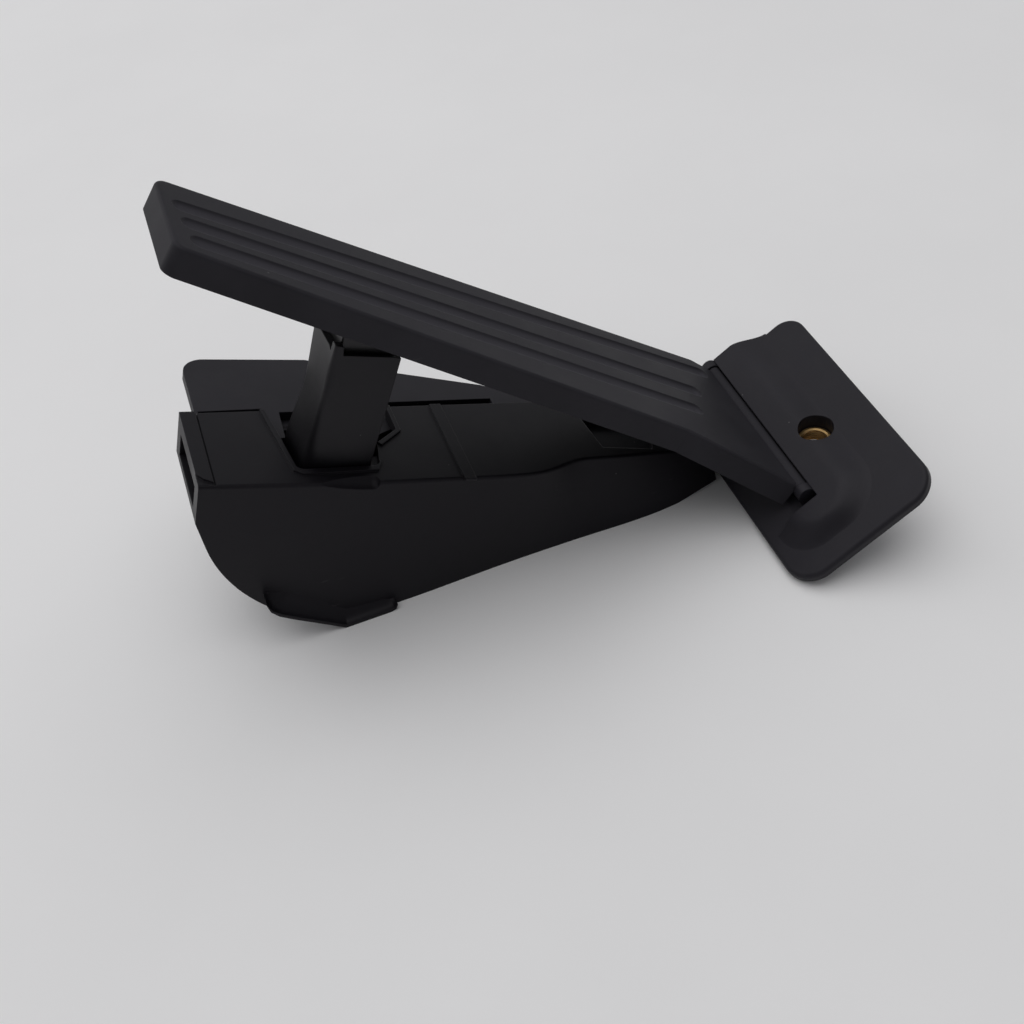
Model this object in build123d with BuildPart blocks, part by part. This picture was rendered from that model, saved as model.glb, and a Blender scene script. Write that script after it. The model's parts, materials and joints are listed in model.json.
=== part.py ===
from build123d import *
import os
from math import asin, cos, hypot, radians, sin, sqrt

os.makedirs("parts", exist_ok=True)

# Slopes of the three working planes, in degrees from level
lid_slope = 20.2
treadle_slope = 39.7
foot_slope = 30.8

# Hinge of the treadle: its axis runs along Y
hinge_pin_d = 2.5
hinge_barrel_d = 4.8
hinge_near = -39.5
hinge_far = 24.0
hinge_lug_w = 3.2
hinge_lug_half = 2.9

# Running clearances
bore_clear = 0.04
side_clear = 0.4
seat_clear = 0.1

# Lid and flange plate, measured along the lid from its left end
lid_x = -170.3
lid_z = 68.4
lid_far = 22.4
wall = 2.2
plate_drop = 3.1
plate_thick = 3.0
plate_far = 55.2
plate_corner = 7.0
plate_right = 172.0

# Housing shell
corner_x = -128.5
corner_z = 46.8
corner_r = 51.8
wall_right = -16.2
cover_thick = 2.2
gasket_thick = 0.8
rim_width = 2.2
tab_near = -18.2
edge_r = 1.0

# Connector at the left end
collar_len = 5.5
collar_deep = 14.0
socket_len = 16.0
socket_near = -7.0
socket_far = 17.5
socket_top = 3.9
socket_bottom = 11.7
socket_wall = 1.6
pin_pitch = 4.0
pin_size = 0.8

# Foot plate, measured up its slope from the lower edge
hinge_up = 19.06
hinge_high = 3.07
foot_len = 52.6
foot_near = -67.2
foot_thick = 3.2
foot_corner = 7.5
hump_high = 4.4
foot_rib = 8.0
bolt_x = 13.55
bolt_y = -23.3
bolt_d = 11.4
bolt_rim = 22.4
bush_bore = 8.2
bush_drop = 4.5
bush_high = 4.6
boss_wall = 2.6

# Treadle, measured from the hinge axis
treadle_len = 206.7
treadle_top = 0.8
treadle_deep = 8.4
treadle_skin = 2.6
skirt = 2.0
edge_gap = 2.0
groove_r = 4.0
groove_deep = 1.2
track_s = -145.0
track_y = 2.2
track_len = 48.0
track_wide = 19.0
track_thick = 1.2

# Link arm, measured in the lid frame
pivot_s = 149.0
pivot_n = -10.6
pivot_d = 4.0
bush_wall = 0.8
boss_d = 8.0
arm_s = 39.2
arm_near = -6.2
arm_far = 11.0
arm_left = 26.6
arm_right = 46.3
arm_top = 45.0
arm_wall = 2.0
beam_top = -9.5
beam_high = 7.5
beam_rise = 1.5
beam_near = -1.2
beam_far = 9.2
shoe_r = 6.0
shoe_gap = 0.35
washer_thick = 0.6

# Return springs
spring_s = 62.0
spring_len = 26.0
outer_r = 6.9
outer_wire = 1.4
inner_r = 4.3
inner_wire = 1.0

# Sensor
board_thick = 1.6
post_high = 2.0
magnet_size = 4.0

# Derived frames. Working X is counted from the hinge axis; the row's origin lies under the footprint's middle.
lid_c = cos(radians(lid_slope))
lid_t = sin(radians(lid_slope))
foot_c = cos(radians(foot_slope))
foot_t = sin(radians(foot_slope))
hinge_z = hinge_up * foot_t + (hinge_high + foot_thick) * foot_c
foot_x = hinge_high * foot_t - hinge_up * foot_c
foot_z = foot_thick * foot_c
left_end = lid_x - collar_len * lid_c - collar_deep * lid_t
right_end = foot_x + foot_len * foot_c + foot_thick * foot_t
mid_x = -(left_end + right_end) / 2
mid_y = -(foot_near + plate_far) / 2


def sloped(x, z, degrees):
    """Plane through working point (x, 0, z) that holds the Y direction and rises along X by an angle."""
    a = radians(degrees)
    return Plane(origin=(x + mid_x, mid_y, z), x_dir=(cos(a), 0, sin(a)), z_dir=(-sin(a), 0, cos(a)))


def upright(x, z, degrees, y):
    """Profile plane square to Y whose extrusions run toward the near side."""
    a = radians(degrees)
    return Plane(origin=(x + mid_x, y + mid_y, z), x_dir=(cos(a), 0, sin(a)), z_dir=(0, -1, 0))


def level(z):
    return sloped(0, z, 0)


def lid_xz(s, n):
    """X and Z of a point s along the lid and n above it."""
    return (lid_x + s * lid_c + n * lid_t, lid_z - s * lid_t + n * lid_c)


def level_side(y):
    return upright(0, 0, 0, y)


def lid_side(y):
    return upright(lid_x, lid_z, -lid_slope, y)


def foot_side(y):
    return upright(foot_x, foot_z, foot_slope, y)


lid_plane = sloped(lid_x, lid_z, -lid_slope)
foot_plane = sloped(foot_x, foot_z, foot_slope)
treadle_plane = sloped(0, hinge_z, -treadle_slope)

# Stations of the link arm pivot across the housing
lug_thick = 2.8
lug_near = beam_near - washer_thick - seat_clear * 2
lug_far = beam_far + washer_thick + seat_clear * 2

# Foot plate with hump, bolt boss and hinge lugs
hump_left = hinge_up + hinge_barrel_d / 2 + side_clear
hump_toe = foot_len - foot_corner - 3.9
hump_edge = hump_toe - 11.8
bush_foot = bolt_rim - bush_drop - bush_high
hump_far = hinge_far + side_clear + hinge_lug_w
lug_end = hinge_near - side_clear - hinge_lug_w


def hump_section(t):
    """Contour of the hump at a share t of the way from its toe to its crest; the flank runs as an S."""
    high = -0.25 + (hump_high + 0.25) * t * t * (3 - 2 * t)
    right = hump_toe + (hump_edge - hump_toe) * t
    near = -60.5 + 7.5 * t
    left = 2.5 + 11.5 * t
    tail = 13.0 - 8.0 * t
    turn = min(17.0 - 7.0 * t, right - left - tail - 0.2)
    far = hump_far - 2 + 2 * t
    with BuildSketch(foot_plane.offset(high)) as section:
        with BuildLine():
            Line((hump_left, hump_far), (right, far))
            Line((right, far), (right, near + turn))
            RadiusArc((right, near + turn), (right - turn, near), turn)
            Line((right - turn, near), (left + tail, near))
            RadiusArc((left + tail, near), (left, near + tail), tail)
            Line((left, near + tail), (left, -46))
            Line((left, -46), (hump_left, -46))
            Line((hump_left, -46), (hump_left, hump_far))
        make_face()
    return section.sketch


with BuildPart() as foot_plate:
    with BuildSketch(foot_plane):
        with BuildLine():
            Polyline(
                (0, foot_near), (foot_len, foot_near), (foot_len, hump_far - 2), (hump_toe, hump_far - 2),
                (hump_edge, hump_far), (0, hump_far), close=True,
            )
        make_face()
        fillet(vertices().group_by(Axis.Y)[0], 10.0)
        fillet(vertices().sort_by_distance((foot_len, hump_far - 2, 0))[0], foot_corner)
    extrude(amount=-foot_thick)
    fillet(faces().filter_by(foot_plane).sort_by(Axis.Z)[-1].edges(), 1.4)
    # hump beside the hinge, rounded off at its near end
    loft(sections=[hump_section(i / 5) for i in range(6)])
    # upright boss under the bolt hole
    with BuildSketch(level(bush_foot)):
        with Locations((bolt_x, bolt_y)):
            Circle(bolt_d / 2 + boss_wall)
    extrude(until=Until.NEXT)
    # ribs under the foot plate
    for y in (-52, -38, -8, 10):
        with BuildSketch(foot_side(y + 0.9)):
            with BuildLine():
                Polyline(
                    (14, -foot_thick + 0.2), (48, -foot_thick + 0.2), (44, -foot_rib), (22, -foot_rib), close=True
                )
            make_face()
        extrude(amount=1.8)
    # hinge lugs
    for y in (hump_far, hinge_near - side_clear):
        with BuildSketch(foot_side(y)):
            with Locations((hinge_up, hinge_high / 2)):
                Rectangle(hinge_lug_half * 2, hinge_high + 0.8)
            with Locations((hinge_up, hinge_high)):
                Circle(hinge_lug_half)
        extrude(amount=hinge_lug_w)
    # holes for the bolt bush and the hinge pin
    with BuildSketch(level(bush_foot - 4)):
        with Locations((bolt_x, bolt_y)):
            Circle(bolt_d / 2)
    extrude(amount=bolt_rim - bush_foot + 12, mode=Mode.SUBTRACT)
    with BuildSketch(level_side(hump_far + 1)):
        with Locations((0, hinge_z)):
            Circle(hinge_pin_d / 2)
    extrude(amount=hump_far - lug_end, mode=Mode.SUBTRACT)
foot_plate.part.label = "foot_plate"
export_step(foot_plate.part, "parts/foot_plate.step")

# Base frame: side flange, plate under the lid and pivot lugs, ending on the foot plate
plate_under = -plate_drop - plate_thick
arm_room = 62.0
peg_spots = ((14, 43), (50, 40))
peg_r = 4.0
frame_screw_spots = ((arm_room + 8, 16.0), (arm_room + 46, 16.0), (arm_room + 10, -7.0))
frame_screw_r = 1.2
frame_head_r = 2.5
frame_head_high = 1.8
frame_cross = 3.0
cross_width = 0.8

with BuildPart() as base_frame:
    with BuildSketch(lid_plane.offset(-plate_drop)):
        with BuildLine():
            Polyline(
                (0, lid_far - 1.2), (0, plate_far), (40, 53.6), (97, 37), (116, 27.5), (124, 24.2),
                (plate_right, 24.2), (plate_right, -5), (90, -5), (82, -11), (arm_room, -11),
                (arm_room, 16.0), (53.0, 11.6), (53.0, 25.5), (25.7, 25.5), (24.9, 12.6), (16.0, 12.6),
                (16.0, lid_far - 1.2), close=True,
            )
        make_face()
        fillet(vertices().sort_by_distance((0, plate_far, 0))[0], plate_corner)
    extrude(amount=-plate_thick)
    # stiffening ribs under the flange
    for s in (4, 34, 66, 92):
        reach = 52 if s < 40 else 52 - 0.33 * (s - 40)
        with BuildSketch(lid_plane.offset(plate_under)):
            with Locations((s, (reach + lid_far + 1) / 2)):
                Rectangle(1.8, reach - lid_far - 1)
        extrude(amount=-4.5)
    # locating pegs for the toe board
    for s, y in peg_spots:
        with BuildSketch(lid_plane.offset(plate_under)):
            with Locations((s, y)):
                Circle(peg_r)
        extrude(amount=-9)
    # lugs that carry the pivot pin
    for y in (lug_near, lug_far + lug_thick):
        with BuildSketch(lid_side(y)):
            with Locations((pivot_s, (pivot_n + plate_under) / 2)):
                Rectangle(boss_d + 0.6, plate_under - pivot_n + 0.4)
            with Locations((pivot_s, pivot_n)):
                Circle(boss_d / 2 + 0.3)
        extrude(amount=lug_thick)
    # groove beside the lid's far edge, on both sides of the arm
    for start, start_y, end, end_y in ((1.0, 27.2, 20.5, 27.6), (61.5, 28.9, 98.0, 29.2)):
        with BuildSketch(lid_plane.offset(-plate_drop)):
            with BuildLine():
                Polyline((start, lid_far - 0.4), (start, start_y), (end, end_y), (end, lid_far - 0.4), close=True)
            make_face()
        extrude(amount=-2.1, mode=Mode.SUBTRACT)
    # seat on the foot plate
    add(foot_plate.part, mode=Mode.SUBTRACT)
    # holes for the pivot pin and the shell's screws
    with BuildSketch(lid_side(lug_far + lug_thick + 1)):
        with Locations((pivot_s, pivot_n)):
            Circle(pivot_d / 2)
    extrude(amount=lug_far - lug_near + 2 * lug_thick + 2, mode=Mode.SUBTRACT)
    with BuildSketch(lid_plane):
        with Locations(*frame_screw_spots):
            Circle(frame_screw_r)
    extrude(amount=plate_under - 1, mode=Mode.SUBTRACT)
base_frame.part.label = "base_frame"
export_step(base_frame.part, "parts/base_frame.step")

# Brass bush low in the bolt hole
with BuildPart() as bolt_bush:
    with BuildSketch(level(bush_foot)):
        with Locations((bolt_x, bolt_y)):
            Circle(bolt_d / 2)
            Circle(bush_bore / 2, mode=Mode.SUBTRACT)
    extrude(amount=bush_high)
    chamfer(edges().filter_by(GeomType.CIRCLE).group_by(Axis.Z)[-1], 0.5)
bolt_bush.part.label = "bolt_bush"
export_step(bolt_bush.part, "parts/bolt_bush.step")

# Housing shell: lid, near wall, round lower corner and floor in one piece
shell_far = lid_far - cover_thick - gasket_thick
shelf = collar_deep + seat_clear
screw_spots = ((-168.5, 38.0), (-159.0, 15.2), (-95.0, 5.8), (-25.5, 4.8))
boss_end = (-11.6, -12.2, -13.4, 11.0)
screw_r = 1.5
screw_head_r = 2.8
screw_head_high = 2.0
screw_cross = 3.2
boss_r = 3.4
pad_x = -144.7
pad_z = 9.4
pad_top = 15.8


def lid_level(x):
    """Height of the lid's top face above a given X."""
    return lid_z - (x - lid_x) * lid_t / lid_c


def corner_foot(inset):
    """X where the round corner, drawn inside the housing's outline by an inset, meets the floor."""
    return corner_x - sqrt((corner_r - inset) ** 2 - (corner_z - inset) ** 2)


def corner_arc(inset):
    """Round lower left corner of the housing, from its left side down to the floor."""
    r = corner_r - inset
    a = asin((corner_z - inset) / r) / 2
    ThreePointArc(
        (corner_x - r, corner_z), (corner_x - r * cos(a), corner_z - r * sin(a)), (corner_foot(inset), inset)
    )


def box_outline(inset, left, right):
    """Outline of the box below the shelf, from its upper left point round to its lower right point."""
    Line(lid_xz(-left, -shelf - inset), (corner_x - corner_r + inset, corner_z))
    corner_arc(inset)
    Line((corner_foot(inset), inset), (right, inset))


# Stations of the near wall: X, y at the lid, y at the floor. Its S bend lies between X = -84 and X = -55.
stations = (
    (-190, -11.2, -11.6), (-162, -12.7, -13.4), (-130, -14.3, -15.2), (-100, -14.8, -14.7), (-84, -14.9, -14.6),
    (-76, -14.0, -14.7), (-69.5, -11.6, -14.8), (-63, -9.0, -15.0), (-55, -8.3, -15.3), (-38, -7.5, -15.2),
    (-24, -7.0, -13.5), (-8, -6.6, -11.4),
)


def wall_face(plane, points):
    """Face behind a smooth line through points, reaching past the far side of the housing."""
    with BuildSketch(plane) as section:
        with BuildLine():
            Spline(*points)
            Polyline(points[-1], (points[-1][0], 50), (points[0][0], 50), points[0])
        make_face()
    return section.sketch


def wall_faces(inset):
    """Floor and lid faces of the space behind the near wall, which leans from one to the other."""
    floor_points = []
    lid_points = []
    over = 4.0
    for x, at_lid, at_floor in stations:
        lean = (at_lid - at_floor) / lid_level(x)
        floor_points.append((x, at_floor - 2 * lean + inset))
        lid_points.append(((x - lid_x - over * lid_t) / lid_c, at_lid + over / lid_c * lean + inset))
    return [wall_face(level(-2), floor_points), wall_face(lid_plane.offset(over), lid_points)]


# Foot tab: distance in from its near edge and thickness there
tab_steps = ((0, 1.2), (1.4, 1.7), (2.8, 3.0), (4.2, 5.2), (6.4, 8.0))
# Lower line of the tab, with the direction in which its upper line lies off it
tab_line = (
    (-169.7, 21.5, 0.1, 0.05), (-169.2, 18.2, 0.5, 0.3), (-167.2, 15.2, 0.7, 0.62), (-163.5, 11.9, 0.66, 0.76),
    (-148.9, 0, 0.33, 1.0), (-133.8, 0, -0.2, 1.0), (-132.0, 0.7, -0.35, 0.6), (-131.2, 2.4, -0.15, 0.1),
)
slot_near = arm_near - 1.0
scoop_y = -15.3
scoop_n = 2.4


def tab_section(y, thick):
    """Section of the foot tab: its lower line is fixed and its upper line lies a thickness above."""
    with BuildSketch(level_side(y)) as section:
        with BuildLine():
            lower = [(x, z) for x, z, dx, dz in tab_line]
            upper = [(x + dx * thick, z + dz * thick) for x, z, dx, dz in reversed(tab_line)]
            Polyline(*lower, *upper, close=True)
        make_face()
    return section.sketch


with BuildPart() as cavity:
    with BuildSketch(level_side(lid_far + 20)):
        with BuildLine():
            box_outline(wall, collar_len - wall, wall_right + 5)
            Polyline(
                (wall_right + 5, wall), (wall_right + 5, lid_level(wall_right + 5) - wall / lid_c),
                lid_xz(-1, -wall), lid_xz(-1, -shelf - wall), lid_xz(wall - collar_len, -shelf - wall),
            )
        make_face()
    extrude(amount=60)
    loft(sections=wall_faces(wall), ruled=True, mode=Mode.INTERSECT)

with BuildPart() as housing:
    with BuildSketch(level_side(lid_far)):
        with BuildLine():
            box_outline(0, collar_len, -32)
            Polyline(
                (-32, 0), (wall_right, 1.6), (wall_right, lid_level(wall_right)), lid_xz(-collar_len, 0),
                lid_xz(-collar_len, -shelf),
            )
        make_face()
    extrude(amount=lid_far + 22)
    loft(sections=wall_faces(0), ruled=True, mode=Mode.INTERSECT)
    fillet(faces().filter_by(lid_plane).sort_by(Axis.Z)[-1].edges().sort_by(Axis.Y)[0], edge_r)
    add(cavity.part, mode=Mode.SUBTRACT)
    # far side below the flange plate is closed by the gasket and cover
    with BuildSketch(level_side(lid_far + 1)):
        with BuildLine():
            Polyline(
                lid_xz(0, -wall - 0.4), lid_xz(180, -wall - 0.4), (0, -10), (-200, -10), lid_xz(-20, -shelf),
                lid_xz(0, -shelf), close=True,
            )
        make_face()
    extrude(amount=lid_far + 1 - shell_far, mode=Mode.SUBTRACT)
    # screw bosses and the stop pad seat
    for (x, z), end in zip(screw_spots, boss_end):
        with BuildSketch(level_side(shell_far)):
            with Locations((x, z)):
                Circle(boss_r)
        extrude(amount=shell_far - end)
        with BuildSketch(level_side(shell_far)):
            with Locations((x, z)):
                Circle(screw_r)
        extrude(amount=7, mode=Mode.SUBTRACT)
    with BuildSketch(level(1)):
        with Locations((pad_x, 4)):
            Circle(5.0)
    extrude(amount=pad_z - 1)
    for s, y in frame_screw_spots:
        with BuildSketch(lid_plane.offset(-wall)):
            with Locations((s, y)):
                Circle(3.2)
        extrude(amount=wall - plate_drop)
        with BuildSketch(lid_plane.offset(-plate_drop)):
            with Locations((s, y)):
                Circle(frame_screw_r)
        extrude(amount=plate_drop - 0.9, mode=Mode.SUBTRACT)
    # foot tab that carries on the round corner, thin at its rim and hollow toward the wall
    loft(sections=[tab_section(tab_near + y, thick) for y, thick in tab_steps])
    # raised collar band, cross strip and slot lips
    with BuildSketch(lid_plane.offset(-0.2)):
        with BuildLine():
            Polyline(
                (-collar_len, lid_far), (-0.9, lid_far), (-1.1, -10.8), (-3.6, -9.2), (-collar_len, -6.6),
                close=True,
            )
        make_face()
        with Locations((75.4, 3.2)):
            Rectangle(3.8, 38.0)
        with BuildLine():
            Polyline(
                (18.6, lid_far), (20.0, lid_far), (24.0, -4.0), (49.0, -4.0), (50.2, -5.4), (48.2, -9.1),
                (25.2, -9.3), (22.6, -7.4), close=True,
            )
        make_face()
        with BuildLine():
            Polyline(
                (60.2, lid_far), (60.2, 9.2), (52.2, 2.6), (51.2, 3.9), (58.8, 10.0), (58.8, lid_far), close=True
            )
        make_face()
    extrude(amount=0.9)
    # arm slot and right recess
    with BuildSketch(lid_plane.offset(2)):
        with BuildLine():
            Polyline(
                (20.0, lid_far + 3), (24.0, slot_near), (48.8, slot_near), (51.2, 3.9), (58.8, 10.0),
                (58.8, lid_far + 3), close=True,
            )
        make_face()
        fillet(vertices().group_by(Axis.Y)[0], 2.5)
        with BuildLine():
            Polyline((124, 12.5), (125.6, -3.0), (143, -5.2), (150, 12.5), close=True)
        make_face()
    extrude(amount=-wall - 3.0, mode=Mode.SUBTRACT)
    # line beside the collar band
    with BuildSketch(lid_plane):
        with BuildLine():
            Polyline((-0.9, lid_far), (-0.3, lid_far), (-0.5, -11.5), (-1.1, -11.5), close=True)
        make_face()
    extrude(amount=-0.5, mode=Mode.SUBTRACT)
    # finger recess scooped out of the lid's near edge
    with BuildSketch(lid_side(scoop_y)):
        with BuildLine():
            Line((28.0, scoop_n), (28.0, -0.5))
            ThreePointArc((28.0, -0.5), (37.0, -2.1), (45.0, -2.6))
            ThreePointArc((45.0, -2.6), (46.6, -2.0), (47.2, -0.4))
            Line((47.2, -0.4), (47.2, scoop_n))
            Line((47.2, scoop_n), (28.0, scoop_n))
        make_face()
    scoop_axis = Axis(lid_plane.from_local_coords((0, scoop_y, scoop_n)), lid_plane.x_dir)
    revolve(axis=scoop_axis, mode=Mode.SUBTRACT)
    # mouth of the connector socket
    with BuildSketch(lid_side(socket_far)):
        with Locations((-collar_len / 2, -(socket_top + socket_bottom) / 2)):
            Rectangle(collar_len + 4, socket_bottom - socket_top)
    extrude(amount=socket_far - socket_near, mode=Mode.SUBTRACT)
housing.part.label = "housing"
export_step(housing.part, "parts/housing.step")

# Back cover that closes the far side
board_s = (19.0, 50.0)
board_n = (-39.0, -9.0)
board_far = shell_far + gasket_thick - post_high
cover_top = plate_under - seat_clear
post_spots = ((22.0, -13.0), (47.0, -13.0), (22.0, -36.0), (47.0, -36.0))


def cover_top_line(right):
    """Closes a cover outline along the underside of the flange plate."""
    Polyline(
        (right, 0), (right, lid_level(right) + cover_top / lid_c), lid_xz(0, cover_top), lid_xz(0, -shelf),
        lid_xz(-collar_len, -shelf),
    )


with BuildPart() as back_cover:
    with BuildSketch(level_side(lid_far)):
        with BuildLine():
            box_outline(0, collar_len, -19)
            cover_top_line(-19)
        make_face()
        with Locations(*screw_spots):
            Circle(screw_r + 0.1, mode=Mode.SUBTRACT)
    extrude(amount=cover_thick)
    for s, n in post_spots:
        with BuildSketch(lid_side(lid_far - cover_thick)):
            with Locations((s, n)):
                Circle(1.8)
        extrude(amount=post_high)
    # stiffening ribs inside
    for x in (-112, -80, -58):
        with BuildSketch(level_side(lid_far - cover_thick)):
            with Locations((x, wall + 1.2 + (lid_level(x) - 14.0) / 2)):
                Rectangle(1.6, lid_level(x) - 14.0)
        extrude(amount=2.4)
back_cover.part.label = "back_cover"
export_step(back_cover.part, "parts/back_cover.step")

# Gasket on the rim of the housing
with BuildPart() as cover_gasket:
    with BuildSketch(level_side(shell_far + gasket_thick)):
        with BuildLine():
            box_outline(0, collar_len, -34)
            Line((-34, 0), (-34, rim_width))
            Line((-34, rim_width), (corner_foot(rim_width), rim_width))
            corner_arc(rim_width)
            Polyline(
                (corner_x - corner_r + rim_width, corner_z), lid_xz(rim_width - collar_len, -shelf - rim_width),
                lid_xz(-1, -shelf - rim_width), lid_xz(-1, -shelf), lid_xz(-collar_len, -shelf),
            )
        make_face()
    extrude(amount=gasket_thick)
cover_gasket.part.label = "cover_gasket"
export_step(cover_gasket.part, "parts/cover_gasket.step")

# Pan head screws of the back cover, one group
with BuildPart() as cover_screws:
    for x, z in screw_spots:
        with BuildSketch(level_side(lid_far)):
            with Locations((x, z)):
                Circle(screw_r)
        extrude(amount=9)
        with BuildSketch(level_side(lid_far + screw_head_high)):
            with Locations((x, z)):
                Circle(screw_head_r)
        extrude(amount=screw_head_high)
        with BuildSketch(level_side(lid_far + screw_head_high)):
            with Locations((x, z)):
                Rectangle(screw_cross, cross_width)
                Rectangle(cross_width, screw_cross)
        extrude(amount=1.1, mode=Mode.SUBTRACT)
cover_screws.part.label = "cover_screws"
export_step(cover_screws.part, "parts/cover_screws.step")

# Screws that hold the shell to the flange plate from below, one group
with BuildPart() as frame_screws:
    for s, y in frame_screw_spots:
        with BuildSketch(lid_plane.offset(plate_under)):
            with Locations((s, y)):
                Circle(frame_head_r)
        extrude(amount=-frame_head_high)
        with BuildSketch(lid_plane.offset(plate_under)):
            with Locations((s, y)):
                Circle(frame_screw_r)
        extrude(amount=-plate_under - 1.1)
        with BuildSketch(lid_plane.offset(plate_under - frame_head_high)):
            with Locations((s, y)):
                Rectangle(frame_cross, cross_width)
                Rectangle(cross_width, frame_cross)
        extrude(amount=1.0, mode=Mode.SUBTRACT)
frame_screws.part.label = "frame_screws"
export_step(frame_screws.part, "parts/frame_screws.step")

# Connector socket behind the housing's collar
back_wall = 2.6
pin_row = -(socket_top + socket_bottom) / 2
pin_ys = [(socket_near + socket_far) / 2 + (i - 2.5) * pin_pitch for i in range(6)]

with BuildPart() as connector_shroud:
    with BuildSketch(lid_side(socket_far + socket_wall)):
        with Locations((socket_len / 2 - 0.5, pin_row)):
            Rectangle(socket_len + 1, socket_bottom - socket_top + 2 * socket_wall)
    extrude(amount=socket_far - socket_near + 2 * socket_wall)
    with BuildSketch(lid_side(socket_far)):
        with Locations(((socket_len - back_wall - 2) / 2, pin_row)):
            Rectangle(socket_len - back_wall + 2, socket_bottom - socket_top)
    extrude(amount=socket_far - socket_near, mode=Mode.SUBTRACT)
    # coding ribs on the floor of the socket
    for y in (socket_near + 4.5, socket_far - 3.5):
        with BuildSketch(lid_side(y)):
            with Locations((4.5, -socket_bottom + 0.5)):
                Rectangle(11.0, 1.0)
        extrude(amount=1.0)
    for y in pin_ys:
        with BuildSketch(lid_side(y + pin_size / 2)):
            with Locations((socket_len, pin_row)):
                Rectangle(socket_len, pin_size)
        extrude(amount=pin_size, mode=Mode.SUBTRACT)
connector_shroud.part.label = "connector_shroud"
export_step(connector_shroud.part, "parts/connector_shroud.step")

# Six blade terminals, one group
with BuildPart() as connector_terminals:
    for y in pin_ys:
        with BuildSketch(lid_side(y + pin_size / 2)):
            with Locations(((3.0 + socket_len + 2.0) / 2, pin_row)):
                Rectangle(socket_len - 1.0, pin_size)
        extrude(amount=pin_size)
connector_terminals.part.label = "connector_terminals"
export_step(connector_terminals.part, "parts/connector_terminals.step")

# Sensor board on the posts of the back cover
with BuildPart() as sensor_board:
    with BuildSketch(lid_side(board_far)):
        with Locations((sum(board_s) / 2, sum(board_n) / 2)):
            Rectangle(board_s[1] - board_s[0], board_n[1] - board_n[0])
        fillet(vertices(), 1.5)
    extrude(amount=board_thick)
sensor_board.part.label = "sensor_board"
export_step(sensor_board.part, "parts/sensor_board.step")

# Two sensor chips facing the path of the magnet
with BuildPart() as sensor_chips:
    for s, n in ((35.5, -17.0), (38.0, -30.0)):
        with BuildSketch(lid_side(board_far - board_thick)):
            with Locations((s, n)):
                Rectangle(6.0, 5.0)
        extrude(amount=1.2)
sensor_chips.part.label = "sensor_chips"
export_step(sensor_chips.part, "parts/sensor_chips.step")

# Pivot pin of the link arm
with BuildPart() as pivot_pin:
    with BuildSketch(lid_side(lug_far + lug_thick)):
        with Locations((pivot_s, pivot_n)):
            Circle(pivot_d / 2)
    extrude(amount=lug_far - lug_near + 2 * lug_thick)
    with BuildSketch(lid_side(lug_far + lug_thick + 1.2)):
        with Locations((pivot_s, pivot_n)):
            Circle(pivot_d / 2 + 1.0)
    extrude(amount=1.2)
pivot_pin.part.label = "pivot_pin"
export_step(pivot_pin.part, "parts/pivot_pin.step")

# Friction washers on both sides of the arm's boss
with BuildPart() as friction_washers:
    for y in (lug_near + washer_thick, lug_far):
        with BuildSketch(lid_side(y)):
            with Locations((pivot_s, pivot_n)):
                Circle(boss_d / 2 - 0.2)
                Circle(pivot_d / 2, mode=Mode.SUBTRACT)
        extrude(amount=washer_thick)
friction_washers.part.label = "friction_washers"
export_step(friction_washers.part, "parts/friction_washers.step")

# Plain bushes pressed into the arm's boss
bush_len = 4.2
with BuildPart() as pivot_bushes:
    for y in (beam_near + bush_len, beam_far):
        with BuildSketch(lid_side(y)):
            with Locations((pivot_s, pivot_n)):
                Circle(pivot_d / 2 + bush_wall)
                Circle(pivot_d / 2 + bore_clear, mode=Mode.SUBTRACT)
        extrude(amount=bush_len)
pivot_bushes.part.label = "pivot_bushes"
export_step(pivot_bushes.part, "parts/pivot_bushes.step")

# Link arm: square tube through the slot, block, beam and pivot boss
beam_under = beam_top - beam_high
tube_floor = 22.0
spigot_r = inner_r - inner_wire / 2 - 0.3
beam_mid = (beam_near + beam_far) / 2
magnet_at = (35.0, -12.5)
magnet_boss = 2.4
# Left side of the tube, height by height: its far edge flares out toward the lid, its near edge grows rounder
flare = (
    (beam_under, 24.0, 4.0), (-8.0, 24.1, 4.0), (2.0, 24.6, 4.0), (8.0, 25.7, 3.4), (14.0, 27.0, 2.8),
    (20.0, 27.9, 2.2), (28.0, 28.3, 2.0), (36.0, 28.5, 1.9), (arm_top, 28.6, 1.8),
)


def tube_section(n, far_left, near_round, inset):
    """Section of the arm tube at a height above the lid, its left side following the flare."""
    near_left = arm_left + 0.083 * n
    right = arm_right + 0.085 * n - inset
    with BuildSketch(lid_plane.offset(n)) as section:
        with BuildLine():
            Polyline(
                (near_left + inset, arm_near + inset), (right, arm_near + inset), (right, arm_far - inset),
                (far_left + inset, arm_far - inset), close=True,
            )
        make_face()
        corners = vertices().sort_by_distance((near_left, arm_near, 0))
        fillet(corners[0], near_round if inset == 0 else 0.6)
        fillet(corners[1:], 1.8 if inset == 0 else 0.6)
    return section.sketch


def tube_ends(inset):
    """Bottom and top sections of the space inside the tube."""
    return [tube_section(tube_floor, *flare[-3][1:], inset), tube_section(arm_top + 1, *flare[-1][1:], inset)]


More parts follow.
